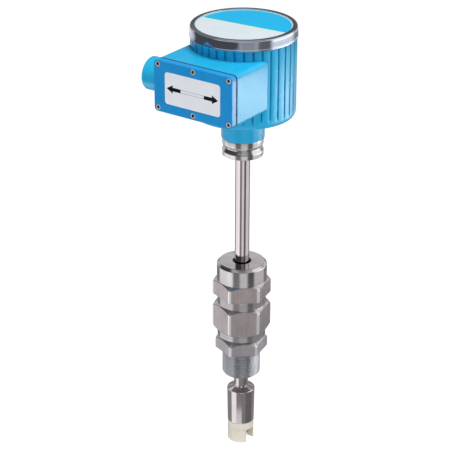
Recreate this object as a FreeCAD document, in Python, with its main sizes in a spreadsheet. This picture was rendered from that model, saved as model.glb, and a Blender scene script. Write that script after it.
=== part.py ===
import FreeCAD, Part
import math
import os

import Sketcher

# Insertion flow meter with a paddle impeller. A threaded nipple screws into the pipe, and a packed gland
# on it grips a slim stem. The stem carries the impeller at its lower end and a round head with a terminal
# box on top.
# Millimetres, +Z up the stem. The origin is on the stem's axis in the seat plane, the underside of the
# nipple's hexagon. The terminal box faces -Y and the liquid flows along X.

DRIVING_SIZES = {
    # Process nipple
    "thread_diameter": 47.8,
    "thread_length": 36.5,
    "thread_lead_in": 2.5,
    "nipple_hex_flats": 58.0,
    "nipple_hex_height": 17.5,
    "nipple_neck_diameter": 40.0,
    "nipple_neck_length": 11.0,
    "hex_bevel_slope": 0.7,
    "hex_turn": -20.0,
    "union_seal_diameter": 52.0,
    "union_seal_thickness": 2.0,
    # Gland body, packing and gland nut
    "gland_collar_diameter": 60.6,
    "gland_hex_flats": 64.0,
    "gland_hex_height": 36.6,
    "gland_lower_collar": 8.5,
    "gland_upper_collar": 11.9,
    "gland_thread_diameter": 43.6,
    "gland_thread_depth": 21.0,
    "packing_chamber_diameter": 30.0,
    "packing_chamber_depth": 20.0,
    "packing_ring_height": 4.0,
    "packing_ring_count": 3,
    "follower_height": 11.0,
    "nut_hex_flats": 64.0,
    "nut_hex_height": 20.8,
    "nut_crown_diameter": 62.4,
    "nut_crown_height": 23.7,
    "nut_bevel_width": 2.0,
    "nut_bevel_height": 4.0,
    "nut_recess_diameter": 23.2,
    "nut_recess_depth": 8.0,
    # Clearances, all on the radius
    "passing_clearance": 0.3,
    "running_clearance": 0.05,
    # Stem and collar
    "stem_diameter": 18.0,
    "stem_bore": 13.0,
    "stem_rise": 3.0,
    "collar_diameter": 50.3,
    "collar_lower_ring": 6.1,
    "collar_groove_height": 8.7,
    "collar_groove_diameter": 45.2,
    "collar_upper_ring": 7.3,
    "collar_neck_diameter": 28.0,
    "collar_edge": 0.6,
    "collar_seal_bore": 34.0,
    "collar_seal_diameter": 42.0,
    "collar_seal_thickness": 1.5,
    "locknut_wall": 3.0,
    "locknut_height": 7.0,
    "grommet_depth": 8.0,
    "grommet_flange": 2.0,
    "cable_diameter": 5.2,
    # Head housing
    "neck_height": 286.8,
    "neck_diameter": 52.2,
    "neck_length": 30.7,
    "neck_flange": 8.0,
    "neck_wall": 4.6,
    "housing_diameter": 125.6,
    "housing_height": 96.8,
    "housing_corner": 6.0,
    "housing_floor": 5.0,
    "rim_step": 2.8,
    "rim_wall": 4.0,
    "rim_height": 8.6,
    "flute_count": 36,
    "flute_depth": 2.0,
    "flute_floor_width": 0.9,
    "flute_edge": 1.6,
    "flute_base": 9.0,
    # Lid
    "bezel_overhang": 1.2,
    "bezel_flange_height": 3.3,
    "bezel_flange_step": 0.5,
    "bezel_shoulder": 4.6,
    "bezel_face": 6.8,
    "bezel_lip": 1.6,
    "dial_thickness": 1.5,
    "lid_seal_thickness": 1.5,
    "lid_seal_width": 3.0,
    # Terminal box and cover
    "box_width": 109.6,
    "box_height": 62.7,
    "box_base": 21.7,
    "box_front": 91.0,
    "box_corner": 5.0,
    "box_wall": 4.3,
    "gasket_thickness": 1.2,
    "gasket_inset": 0.8,
    "cover_thickness": 9.1,
    "cover_face": 4.5,
    "cover_rim": 9.5,
    "cover_edge": 1.0,
    "screw_margin_across": 5.3,
    "screw_margin_up": 5.0,
    "screw_diameter": 4.0,
    "screw_head_diameter": 7.2,
    "screw_head_height": 4.0,
    "screw_socket_flats": 3.6,
    "screw_socket_depth": 2.2,
    "screw_bite": 10.0,
    "screw_post_diameter": 8.2,
    "screw_post_length": 13.0,
    "screw_recess_gap": 0.3,
    "screw_recess_depth": 4.3,
    "label_width": 77.6,
    "label_height": 38.6,
    "label_corner": 4.0,
    "label_thickness": 0.4,
    "boss_diameter": 40.0,
    "boss_length": 27.0,
    "boss_margin": 0.5,
    "cable_entry_diameter": 23.4,
    # Electronics
    "board_diameter": 96.0,
    "board_thickness": 1.6,
    "board_rise": 40.0,
    "board_post_diameter": 8.0,
    "board_post_circle": 80.0,
    "board_screw_diameter": 3.0,
    "board_screw_bite": 8.0,
    "board_screw_head_diameter": 5.6,
    "board_screw_head_height": 2.2,
    "plug_width": 14.0,
    "plug_depth": 10.0,
    "plug_height": 8.0,
    "terminal_count": 6,
    "terminal_pitch": 9.5,
    "terminal_depth": 20.0,
    "terminal_height": 17.0,
    "terminal_step": 7.0,
    "terminal_gap": 1.0,
    "terminal_screw_diameter": 5.0,
    "terminal_screw_height": 4.0,
    "wire_way_diameter": 4.6,
    # Sensor and impeller
    "shoulder_depth": 57.4,
    "shoulder_fall": 2.5,
    "sensor_top_diameter": 35.4,
    "sensor_bottom_diameter": 33.9,
    "sensor_length": 46.5,
    "stem_socket_depth": 14.0,
    "sensor_cavity_diameter": 24.0,
    "sensor_cavity_depth": 20.0,
    "tip_diameter": 33.7,
    "tip_length": 28.9,
    "tip_bevel": 1.2,
    "tip_neck_length": 12.0,
    "tip_seal_width": 1.6,
    "tip_seal_height": 2.4,
    "slot_width": 16.0,
    "axle_height": 10.3,
    "axle_diameter": 2.0,
    "bush_diameter": 5.0,
    "bush_length": 6.0,
    "impeller_diameter": 16.4,
    "impeller_side_gap": 0.8,
    "impeller_tip_gap": 0.3,
    "hub_diameter": 8.0,
    "blade_count": 6,
    "blade_thickness": 1.2,
    "blade_sweep": 2.4,
    "blade_curve": 4.2,
    "magnet_count": 4,
    "magnet_diameter": 1.8,
    "magnet_length": 5.0,
    "magnet_circle": 5.0,
}


class Size:
    """A length that carries its number and the sheet expression that gives that number."""

    def __init__(self, value, text):
        self.value = value
        self.text = text

    def __add__(self, other):
        other = as_size(other)
        return Size(self.value + other.value, f"({self.text} + {other.text})")

    def __sub__(self, other):
        other = as_size(other)
        return Size(self.value - other.value, f"({self.text} - {other.text})")

    def __mul__(self, other):
        other = as_size(other)
        return Size(self.value * other.value, f"({self.text} * {other.text})")

    def __truediv__(self, other):
        other = as_size(other)
        return Size(self.value / other.value, f"({self.text} / {other.text})")

    def __neg__(self):
        return Size(-self.value, f"(0 - {self.text})")


def as_size(number):
    if isinstance(number, Size):
        return number
    return Size(float(number), f"({float(number)!r})")


def root(square):
    return Size(math.sqrt(square.value), f"sqrt({square.text})")


doc = FreeCAD.newDocument("insertion_flow_meter")
sheet = doc.addObject("Spreadsheet::Sheet", "sizes")
size = {}
for row, (alias, number) in enumerate(DRIVING_SIZES.items(), start=1):
    sheet.set(f"A{row}", alias)
    sheet.set(f"B{row}", str(number))
    sheet.setAlias(f"B{row}", alias)
    size[alias] = Size(float(number), f"sizes.{alias}")
doc.recompute()

pieces = []
UP = FreeCAD.Vector(0, 0, 1)


def half(alias):
    return size[alias] / 2


def bind(thing, path, length):
    thing.setExpression(path, as_size(length).text)


def new_body(label, x=0, y=0, z=0, turn=0, piece=True):
    """An empty body at its place; turn is its angle about the upright axis."""
    body = doc.addObject("PartDesign::Body", label)
    body.Label = label
    if turn:
        body.Placement = FreeCAD.Placement(FreeCAD.Vector(), FreeCAD.Rotation(UP, turn.value))
        bind(body, "Placement.Rotation.Angle", turn)
    for axis, offset in (("x", x), ("y", y), ("z", z)):
        if offset:
            bind(body, f"Placement.Base.{axis}", offset)
    if piece:
        pieces.append(body)
    return body


def origin_feature(body, role):
    return next(feature for feature in body.Origin.OriginFeatures if feature.Role == role)


def new_sketch(body, plane, start=0):
    """A sketch on one of the body's own planes, moved along that plane's normal by start."""
    sketch = body.newObject("Sketcher::SketchObject", f"{body.Label}_sketch")
    sketch.AttachmentSupport = [(origin_feature(body, plane), "")]
    sketch.MapMode = "FlatFace"
    if start:
        bind(sketch, "AttachmentOffset.Base.z", start)
    return sketch


def hold(sketch, kind, axis_line, geometry, end, length):
    """Hold a point at a distance from the sketch's origin, or on its axis where that is nought."""
    if not isinstance(length, Size):
        sketch.addConstraint(Sketcher.Constraint("PointOnObject", geometry, end, axis_line))
        return
    index = sketch.addConstraint(Sketcher.Constraint(kind, -1, 1, geometry, end, length.value))
    bind(sketch, f"Constraints[{index}]", length)


def hold_point(sketch, geometry, end, x, y):
    hold(sketch, "DistanceX", -2, geometry, end, x)
    hold(sketch, "DistanceY", -1, geometry, end, y)


def draw_circle(sketch, x, y, radius):
    centre = FreeCAD.Vector(as_size(x).value, as_size(y).value, 0)
    geometry = sketch.addGeometry(Part.Circle(centre, UP, radius.value))
    hold_point(sketch, geometry, 3, x, y)
    index = sketch.addConstraint(Sketcher.Constraint("Radius", geometry, radius.value))
    bind(sketch, f"Constraints[{index}]", radius)


def bent_edge(start, end, radius, left):
    """The short arc of that radius from start to end, its centre to the left or right of the chord."""
    chord = end - start
    aside = FreeCAD.Vector(-chord.y, chord.x, 0).normalize()
    reach = math.sqrt(max(radius**2 - (chord.Length / 2) ** 2, 0.0))
    centre = (start + end) / 2 + aside * (reach if left else -reach)
    first, last = (start, end) if left else (end, start)
    angles = [math.atan2(point.y - centre.y, point.x - centre.x) for point in (first, last)]
    if angles[1] < angles[0]:
        angles[1] += 2 * math.pi
    return Part.ArcOfCircle(Part.Circle(centre, UP, radius), *angles)


def draw_outline(sketch, corners):
    """A closed outline of corners (x, y), or (x, y, radius, left) where an arc leads on to the next."""
    edges = []
    for index, corner in enumerate(corners):
        following = corners[(index + 1) % len(corners)]
        start = FreeCAD.Vector(as_size(corner[0]).value, as_size(corner[1]).value, 0)
        end = FreeCAD.Vector(as_size(following[0]).value, as_size(following[1]).value, 0)
        if len(corner) == 2:
            edges.append((sketch.addGeometry(Part.LineSegment(start, end)), 1, 2))
            continue
        left = corner[3]
        geometry = sketch.addGeometry(bent_edge(start, end, corner[2].value, left))
        edges.append((geometry, 1, 2) if left else (geometry, 2, 1))
    for index, (geometry, begins, ends) in enumerate(edges):
        next_geometry, next_begins, _ = edges[(index + 1) % len(edges)]
        sketch.addConstraint(Sketcher.Constraint("Coincident", geometry, ends, next_geometry, next_begins))
    for corner, (geometry, begins, _) in zip(corners, edges):
        hold_point(sketch, geometry, begins, corner[0], corner[1])
        if len(corner) > 2:
            index = sketch.addConstraint(Sketcher.Constraint("Radius", geometry, corner[2].value))
            bind(sketch, f"Constraints[{index}]", corner[2])


def lathe(body, corners, cut=False):
    """Turn a profile of (radius, height) corners round the body's upright axis, as metal or as a cut."""
    sketch = new_sketch(body, "XZ_Plane")
    draw_outline(sketch, corners)
    kind = "PartDesign::Groove" if cut else "PartDesign::Revolution"
    feature = body.newObject(kind, f"{body.Label}_turned")
    feature.Profile = sketch
    feature.ReferenceAxis = (sketch, ["V_Axis"])
    feature.Angle = 360
    doc.recompute()
    return feature


def extrude(body, plane, outlines, length, start=0, cut=False):
    """Carry outlines, or circles as (x, y, radius), along the plane's normal, as metal or as a cut."""
    sketch = new_sketch(body, plane, start)
    for outline in outlines:
        if isinstance(outline, tuple):
            draw_circle(sketch, *outline)
        else:
            draw_outline(sketch, outline)
    kind = "PartDesign::Pocket" if cut else "PartDesign::Pad"
    feature = body.newObject(kind, f"{body.Label}_drawn")
    feature.Profile = sketch
    feature.Reversed = cut
    bind(feature, "Length", length)
    doc.recompute()
    return feature


def repeat_round(body, feature, count, axis="Z_Axis"):
    pattern = body.newObject("PartDesign::PolarPattern", f"{body.Label}_round")
    pattern.Originals = [feature]
    pattern.Axis = (origin_feature(body, axis), [""])
    pattern.Angle = 360
    bind(pattern, "Occurrences", count)
    body.Tip = pattern
    doc.recompute()


def hexagon(flats):
    """The six corners of a hexagon with that width across its flats, the first on the X axis."""
    corners = []
    for step in range(6):
        angle = math.radians(60 * step)
        across = flats * (math.cos(angle) / math.sqrt(3))
        upward = flats * (math.sin(angle) / math.sqrt(3)) if step % 3 else 0
        corners.append((across, upward))
    return corners


def rounded_rectangle(width, height, corner, middle=0):
    """Corners and arcs of an upright rectangle with rounded corners, its middle at that height."""
    right = width / 2
    left = -right
    top = as_size(middle) + height / 2
    bottom = as_size(middle) - height / 2
    return [
        (left + corner, bottom),
        (right - corner, bottom, corner, True),
        (right, bottom + corner),
        (right, top - corner, corner, True),
        (right - corner, top),
        (left + corner, top, corner, True),
        (left, top - corner),
        (left, bottom + corner, corner, True),
    ]


def bevel_hexagon(body, flats, level, radius, upper):
    """Turn the corners of a hexagon's end down to a cone that meets the end face at that radius."""
    outside = flats * (2 / math.sqrt(3)) / 2 + 1
    fall = (outside - radius) * size["hex_bevel_slope"]
    cone_end = level - fall if upper else level + fall
    lathe(body, [(radius, level), (outside, level), (outside, cone_end)], cut=True)


def ring(label, inner, outer, height, z, piece=True):
    """A plain turned ring of rectangular section, its lower face at z."""
    body = new_body(label, z=z, piece=piece)
    lathe(body, [(inner, 0), (outer, 0), (outer, height), (inner, height)])
    return body


def copies(label, master, places):
    """One node that holds separate solids, each the master's solid at one of the places."""
    doc.recompute()
    group = doc.addObject("Part::Feature", label)
    group.Label = label
    solids = []
    for place in places:
        solid = master.Shape.copy()
        solid.Placement = place.multiply(solid.Placement)
        solids.append(solid)
    group.Shape = Part.makeCompound(solids)
    pieces.append(group)


def at(x=0, y=0, z=0, rotation=None):
    base = FreeCAD.Vector(as_size(x).value, as_size(y).value, as_size(z).value)
    return FreeCAD.Placement(base, rotation or FreeCAD.Rotation())


passing = size["passing_clearance"]
running = size["running_clearance"]
stem_way = half("stem_diameter") + passing

# Heights of the fitting above the seat plane
gland_base = size["nipple_hex_height"] + size["union_seal_thickness"]
gland_height = size["gland_lower_collar"] + size["gland_hex_height"] + size["gland_upper_collar"]
gland_top = gland_base + gland_height
chamber_mouth = gland_height - size["gland_thread_depth"]
chamber_floor = chamber_mouth - size["packing_chamber_depth"]
follower_base = gland_base + chamber_floor + size["packing_ring_height"] * size["packing_ring_count"]
follower_top = follower_base + size["follower_height"]


def process_nipple():
    """Hexagon nipple: the pipe thread below, a screwed neck for the gland body above, bored for the stem."""
    body = new_body("process_nipple", turn=size["hex_turn"])
    flats = size["nipple_hex_flats"]
    hex_top = size["nipple_hex_height"]
    extrude(body, "XY_Plane", [hexagon(flats)], hex_top)
    bevel_hexagon(body, flats, hex_top, half("union_seal_diameter"), True)
    thread = half("thread_diameter")
    lead_in = size["thread_lead_in"]
    lower_end = -size["thread_length"]
    neck_top = gland_base + size["nipple_neck_length"]
    lathe(body, [
        (0, lower_end),
        (thread - lead_in, lower_end),
        (thread, lower_end + lead_in),
        (thread, hex_top / 2),
        (half("nipple_neck_diameter"), hex_top / 2),
        (half("nipple_neck_diameter"), neck_top),
        (0, neck_top),
    ])
    lathe(body, [(0, lower_end), (stem_way, lower_end), (stem_way, neck_top), (0, neck_top)], cut=True)


def union_seal():
    """Flat ring between the nipple's hexagon and the gland body."""
    inner = half("nipple_neck_diameter") + running
    outer = half("union_seal_diameter")
    ring("union_seal", inner, outer, size["union_seal_thickness"], size["nipple_hex_height"])


def gland_body():
    """Hexagon body with a collar at each end, the packing chamber inside and a thread for the nut on top."""
    body = new_body("gland_body", z=gland_base, turn=size["hex_turn"])
    hex_base = size["gland_lower_collar"]
    hex_top = hex_base + size["gland_hex_height"]
    collar = half("gland_collar_diameter")
    extrude(body, "XY_Plane", [hexagon(size["gland_hex_flats"])], size["gland_hex_height"], start=hex_base)
    bevel_hexagon(body, size["gland_hex_flats"], hex_top, collar, True)
    bevel_hexagon(body, size["gland_hex_flats"], hex_base, collar, False)
    lathe(body, [(0, 0), (collar, 0), (collar, gland_height), (0, gland_height)])
    socket = half("nipple_neck_diameter") + running
    chamber = half("packing_chamber_diameter")
    thread = half("gland_thread_diameter")
    lathe(body, [
        (0, 0),
        (socket, 0),
        (socket, size["nipple_neck_length"] + passing),
        (stem_way, size["nipple_neck_length"] + passing),
        (stem_way, chamber_floor),
        (chamber, chamber_floor),
        (chamber, chamber_mouth),
        (thread, chamber_mouth),
        (thread, gland_height),
        (0, gland_height),
    ], cut=True)


def packing_rings():
    """Square-section packing rings stacked on the chamber's floor round the stem."""
    inner = half("stem_diameter") + running
    outer = half("packing_chamber_diameter") - passing
    master = ring("packing_ring", inner, outer, size["packing_ring_height"], 0, piece=False)
    count = int(size["packing_ring_count"].value)
    levels = [gland_base + chamber_floor + size["packing_ring_height"] * step for step in range(count)]
    copies("packing_rings", master, [at(z=level) for level in levels])


def gland_follower():
    """Brass ring that the nut presses down on the packing."""
    outer = half("packing_chamber_diameter") - passing
    ring("gland_follower", stem_way, outer, size["follower_height"], follower_base)


def gland_nut():
    """Nut with a round crown over its hexagon and a screwed skirt that reaches down to the follower."""
    body = new_body("gland_nut", z=gland_top, turn=size["hex_turn"])
    hex_top = size["nut_hex_height"]
    crown = half("nut_crown_diameter")
    crown_top = hex_top + size["nut_crown_height"]
    skirt = half("gland_thread_diameter") - passing
    skirt_end = follower_top - gland_top
    extrude(body, "XY_Plane", [hexagon(size["nut_hex_flats"])], hex_top)
    bevel_hexagon(body, size["nut_hex_flats"], hex_top, crown, True)
    lathe(body, [
        (0, skirt_end),
        (skirt, skirt_end),
        (skirt, hex_top / 2),
        (crown, hex_top / 2),
        (crown, crown_top - size["nut_bevel_height"]),
        (crown - size["nut_bevel_width"], crown_top),
        (0, crown_top),
    ])
    recess = half("nut_recess_diameter")
    recess_floor = crown_top - size["nut_recess_depth"]
    lathe(body, [
        (0, skirt_end),
        (stem_way, skirt_end),
        (stem_way, recess_floor),
        (recess, recess_floor),
        (recess, crown_top),
        (0, crown_top),
    ], cut=True)


# Heights of the stem, head and sensor
collar_height = size["collar_lower_ring"] + size["collar_groove_height"] + size["collar_upper_ring"]
collar_base = size["neck_height"] - collar_height
locknut_base = size["neck_height"] + size["neck_flange"]
collar_top = locknut_base + size["locknut_height"] + size["stem_rise"]
stem_top = collar_top + size["stem_rise"]
shoulder = -size["shoulder_depth"]
stem_end = shoulder - size["stem_socket_depth"]
sensor_height = size["shoulder_fall"] + size["sensor_length"]
sensor_base = shoulder - sensor_height
pickup_top = sensor_base + size["sensor_cavity_depth"]
tip_base = sensor_base - size["tip_length"]
housing_base = size["neck_height"] + size["neck_length"]
rim_radius = half("housing_diameter") - size["rim_step"]
board_base = housing_base + size["housing_floor"] + size["board_rise"]
plug_base = board_base - size["plug_height"]


def stem_tube():
    """Polished tube from the sensor's socket up through the gland and the collar into the head."""
    ring("stem_tube", half("stem_bore"), half("stem_diameter"), stem_top - stem_end, stem_end)


def stem_collar():
    """Turned collar under the head: two rings with a vee groove between, and a neck through the housing."""
    body = new_body("stem_collar", z=collar_base)
    edge = size["collar_edge"]
    outer = half("collar_diameter")
    bore = half("stem_diameter") + running
    groove_base = size["collar_lower_ring"]
    groove_top = groove_base + size["collar_groove_height"]
    neck = half("collar_neck_diameter")
    neck_top = collar_top - collar_base
    lathe(body, [
        (bore, 0),
        (outer - edge, 0),
        (outer, edge),
        (outer, groove_base),
        (half("collar_groove_diameter"), groove_base + size["collar_groove_height"] / 2),
        (outer, groove_top),
        (outer, collar_height),
        (neck, collar_height),
        (neck, neck_top),
        (bore, neck_top),
    ])
    seal_floor = collar_height - size["collar_seal_thickness"]
    seal_inner = half("collar_seal_bore") - running
    seal_outer = half("collar_seal_diameter") + running
    lathe(body, [
        (seal_inner, seal_floor),
        (seal_outer, seal_floor),
        (seal_outer, collar_height),
        (seal_inner, collar_height),
    ], cut=True)


def collar_seal():
    """Rubber ring in the collar's top face, against the underside of the housing's neck."""
    thickness = size["collar_seal_thickness"]
    base = size["neck_height"] - thickness
    ring("collar_seal", half("collar_seal_bore"), half("collar_seal_diameter"), thickness, base)


def collar_locknut():
    """Hexagon nut inside the neck that draws the collar up against the housing."""
    body = new_body("collar_locknut", z=locknut_base)
    height = size["locknut_height"]
    flats = size["collar_neck_diameter"] + size["locknut_wall"] * 2
    extrude(body, "XY_Plane", [hexagon(flats)], height)
    bore = half("collar_neck_diameter") + running
    lathe(body, [(0, 0), (bore, 0), (bore, height), (0, height)], cut=True)


def stem_grommet():
    """Rubber plug in the stem's upper end that holds the signal cable."""
    body = new_body("stem_grommet", z=stem_top - size["grommet_depth"])
    bore = half("cable_diameter") + running
    plug = half("stem_bore") - running
    depth = size["grommet_depth"]
    flange_top = depth + size["grommet_flange"]
    flange = half("stem_diameter")
    lathe(body, [
        (bore, 0),
        (plug, 0),
        (plug, depth),
        (flange, depth),
        (flange, flange_top),
        (bore, flange_top),
    ])


def signal_cable():
    """Screened cable that runs straight up inside the stem from the pickup to the plug under the board."""
    body = new_body("signal_cable", z=pickup_top)
    radius = half("cable_diameter")
    rise = plug_base - pickup_top
    lathe(body, [(0, 0), (radius, 0), (radius, rise), (0, rise)])


# The terminal box stands on the front of the round housing. Its middle is this far above the housing's base
box_middle = size["box_base"] + size["box_height"] / 2
cover_back = size["box_front"] + size["gasket_thickness"]
cover_front = cover_back + size["cover_thickness"]
screw_across = half("box_width") - size["screw_margin_across"]
screw_up = half("box_height") - size["screw_margin_up"]
across_places = [-screw_across, 0, screw_across]
up_places = [box_middle - screw_up, box_middle + screw_up]
screw_places = [(across, up) for across in across_places for up in up_places]
board_post_reach = half("board_post_circle") * math.sqrt(0.5)
board_post_rows = (board_post_reach, -board_post_reach)
board_post_places = [(x, y) for x in board_post_rows for y in board_post_rows]


def box_outline(inset, corner):
    """The terminal box's outline, drawn in by inset all round."""
    width = size["box_width"] - as_size(inset) * 2
    height = size["box_height"] - as_size(inset) * 2
    return rounded_rectangle(width, height, corner, box_middle)


def circles(places, diameter):
    return [(x, y, half(diameter)) for x, y in places]


def head_housing():
    """Moulded housing: a fluted round pot on a neck, in one with the terminal box and the cable boss."""
    body = new_body("head_housing", z=housing_base)
    outer = half("housing_diameter")
    height = size["housing_height"]
    rim_top = height + size["rim_height"]
    corner = size["housing_corner"]
    neck_end = -size["neck_length"]
    lathe(body, [
        (0, neck_end),
        (half("neck_diameter"), neck_end),
        (half("neck_diameter"), 0),
        (outer - corner, 0, corner, True),
        (outer, corner),
        (outer, height),
        (rim_radius, height),
        (rim_radius, rim_top),
        (0, rim_top),
    ])
    # Each flute has a narrow floor and rounded shoulders, and runs out of the top under the bezel
    floor = outer - size["flute_depth"]
    side = half("flute_floor_width")
    edge = size["flute_edge"]
    clear = outer + size["flute_depth"]
    flute = extrude(body, "XY_Plane", [[
        (floor, -side),
        (outer - edge, -side, edge, False),
        (outer, -side - edge),
        (clear, -side - edge),
        (clear, side + edge),
        (outer, side + edge, edge, False),
        (outer - edge, side),
        (floor, side),
    ]], height - size["flute_base"], start=size["flute_base"], cut=True)
    flute_sketch = flute.Profile[0]
    flute_sketch.AttachmentOffset.Rotation = FreeCAD.Rotation(UP, 1)
    bind(flute_sketch, "AttachmentOffset.Rotation.Angle", as_size(180) / size["flute_count"])
    repeat_round(body, flute, size["flute_count"])
    # The terminal box and the boss are solid first, and hollowed with the pot
    extrude(body, "XZ_Plane", [box_outline(0, size["box_corner"])], size["box_front"])
    boss_end = -(half("box_width") + size["boss_length"])
    boss_reach = size["boss_length"] + size["box_wall"]
    boss_setback = size["box_front"] - size["boss_margin"] - half("boss_diameter")
    boss = (-boss_setback, box_middle, half("boss_diameter"))
    extrude(body, "YZ_Plane", [boss], boss_reach, boss_end)
    flange = neck_end + size["neck_flange"]
    floor_level = size["housing_floor"]
    neck_bore = half("neck_diameter") - size["neck_wall"]
    pot_bore = rim_radius - size["rim_wall"]
    lathe(body, [
        (0, neck_end),
        (half("collar_neck_diameter") + passing, neck_end),
        (half("collar_neck_diameter") + passing, flange),
        (neck_bore, flange),
        (neck_bore, floor_level),
        (pot_bore, floor_level),
        (pot_bore, rim_top),
        (0, rim_top),
    ], cut=True)
    room = box_outline(size["box_wall"], size["box_corner"] - size["box_wall"] / 2)
    extrude(body, "XZ_Plane", [room], size["box_front"], cut=True)
    entry = (-boss_setback, box_middle, half("cable_entry_diameter"))
    extrude(body, "YZ_Plane", [entry], boss_reach, boss_end, cut=True)
    # Posts for the cover's screws in the box, and for the board's screws on the floor
    posts = circles(screw_places, "screw_post_diameter")
    post_length = size["screw_post_length"]
    extrude(body, "XZ_Plane", posts, post_length, size["box_front"] - post_length)
    holes = circles(screw_places, "screw_diameter")
    extrude(body, "XZ_Plane", holes, size["screw_bite"], size["box_front"] - size["screw_bite"], cut=True)
    board_posts = circles(board_post_places, "board_post_diameter")
    extrude(body, "XY_Plane", board_posts, size["board_rise"], floor_level)
    board_holes = circles(board_post_places, "board_screw_diameter")
    hole_base = floor_level + size["board_rise"] - size["board_screw_bite"]
    extrude(body, "XY_Plane", board_holes, size["board_screw_bite"], hole_base, cut=True)


def lid_seal():
    """Rubber ring between the housing's rim and the dial plate."""
    outer = rim_radius - passing
    base = housing_base + size["housing_height"] + size["rim_height"]
    ring("lid_seal", outer - size["lid_seal_width"], outer, size["lid_seal_thickness"], base)


def dial_plate():
    """Round printed plate that closes the top of the housing."""
    plate = doc.addObject("Part::Cylinder", "dial_plate")
    plate.Label = "dial_plate"
    bind(plate, "Radius", rim_radius - passing)
    bind(plate, "Height", size["dial_thickness"])
    seal_top = size["housing_height"] + size["rim_height"] + size["lid_seal_thickness"]
    bind(plate, "Placement.Base.z", housing_base + seal_top)
    pieces.append(plate)


def bezel_ring():
    """Chromed ring over the rim: a low flange, a round shoulder and a lip that holds the dial plate down."""
    body = new_body("bezel_ring", z=housing_base + size["housing_height"])
    flange = half("housing_diameter") + size["bezel_overhang"]
    barrel = flange - size["bezel_flange_step"]
    window = flange - size["bezel_face"]
    bore = rim_radius + running
    lip_base = size["rim_height"] + size["lid_seal_thickness"] + size["dial_thickness"]
    top = lip_base + size["bezel_lip"]
    shoulder_size = size["bezel_shoulder"]
    lathe(body, [
        (bore, 0),
        (flange, 0),
        (flange, size["bezel_flange_height"]),
        (barrel, size["bezel_flange_height"]),
        (barrel, top - shoulder_size, shoulder_size, True),
        (barrel - shoulder_size, top),
        (window + size["bezel_lip"] / 2, top),
        (window, top - size["bezel_lip"] / 2),
        (window, lip_base),
        (bore, lip_base),
    ])


def terminal_gasket():
    """Rubber frame squeezed between the terminal box and its cover, set a little inside their outline."""
    body = new_body("terminal_gasket", z=housing_base)
    inner = size["screw_margin_up"] - half("screw_diameter") - passing
    frame = [box_outline(inset, size["box_corner"] - inset) for inset in (size["gasket_inset"], inner)]
    extrude(body, "XZ_Plane", frame, size["gasket_thickness"], size["box_front"])


def terminal_cover():
    """Moulded cover of the terminal box, hollow behind, with recesses for its six screws."""
    body = new_body("terminal_cover", z=housing_base)
    outline = box_outline(0, size["box_corner"])
    plate = extrude(body, "XZ_Plane", [outline], size["cover_thickness"], cover_back)
    edges = []
    for index, edge in enumerate(plate.Shape.Edges, start=1):
        if all(abs(vertex.Point.y + cover_front.value) < 1e-6 for vertex in edge.Vertexes):
            edges.append(f"Edge{index}")
    rounding = body.newObject("PartDesign::Fillet", "terminal_cover_edge")
    rounding.Base = (plate, edges)
    bind(rounding, "Radius", size["cover_edge"])
    doc.recompute()
    hollow = box_outline(size["cover_rim"], size["box_corner"] / 2)
    hollow_depth = size["cover_thickness"] - size["cover_face"]
    extrude(body, "XZ_Plane", [hollow], hollow_depth, cover_back, cut=True)
    ways = [(x, y, half("screw_diameter") + passing) for x, y in screw_places]
    extrude(body, "XZ_Plane", ways, size["cover_thickness"], cover_back, cut=True)
    recess_depth = size["screw_recess_depth"]
    recess = half("screw_head_diameter") + size["screw_recess_gap"]
    recesses = [(x, y, recess) for x, y in screw_places]
    extrude(body, "XZ_Plane", recesses, recess_depth, cover_front - recess_depth, cut=True)


def socket_screw(label, shank, bite, head, head_height, socket, socket_depth):
    """One socket screw along +Z, the underside of its head at the origin."""
    body = new_body(label, piece=False)
    lathe(body, [(0, -bite), (shank, -bite), (shank, 0), (head, 0), (head, head_height), (0, head_height)])
    extrude(body, "XY_Plane", [hexagon(socket)], socket_depth, start=head_height - socket_depth, cut=True)
    return body


def terminal_cover_screws():
    """Steel socket screws that hold the terminal cover."""
    seat = size["cover_thickness"] - size["screw_recess_depth"]
    bite = seat + size["gasket_thickness"] + size["screw_bite"] - passing
    master = socket_screw(
        "cover_screw",
        half("screw_diameter") - running,
        bite,
        half("screw_head_diameter"),
        size["screw_head_height"],
        size["screw_socket_flats"],
        size["screw_socket_depth"],
    )
    outward = FreeCAD.Rotation(FreeCAD.Vector(1, 0, 0), 90)
    seat_level = cover_back + seat
    places = [at(x, -seat_level, housing_base + up, outward) for x, up in screw_places]
    copies("terminal_cover_screws", master, places)


def flow_direction_label():
    """Plate with the flow arrow, stuck to the front of the terminal cover."""
    body = new_body("flow_direction_label", z=housing_base)
    outline = rounded_rectangle(size["label_width"], size["label_height"], size["label_corner"], box_middle)
    extrude(body, "XZ_Plane", [outline], size["label_thickness"], cover_front)


def circuit_board():
    """Round board on the housing's posts that turns the pickup's pulses into the meter's output."""
    body = new_body("circuit_board", z=board_base)
    extrude(body, "XY_Plane", [(0, 0, half("board_diameter"))], size["board_thickness"])
    ways = [(x, y, half("board_screw_diameter") + running) for x, y in board_post_places]
    extrude(body, "XY_Plane", ways, size["board_thickness"], cut=True)


def board_screws():
    """Steel screws that hold the board to its posts."""
    shank = half("board_screw_diameter") - running
    head = half("board_screw_head_diameter")
    bite = size["board_thickness"] + size["board_screw_bite"] - passing
    master = new_body("board_screw", piece=False)
    head_height = size["board_screw_head_height"]
    lathe(master, [(0, -bite), (shank, -bite), (shank, 0), (head, 0), (head, head_height), (0, head_height)])
    level = board_base + size["board_thickness"]
    copies("board_screws", master, [at(x, y, level) for x, y in board_post_places])


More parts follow.
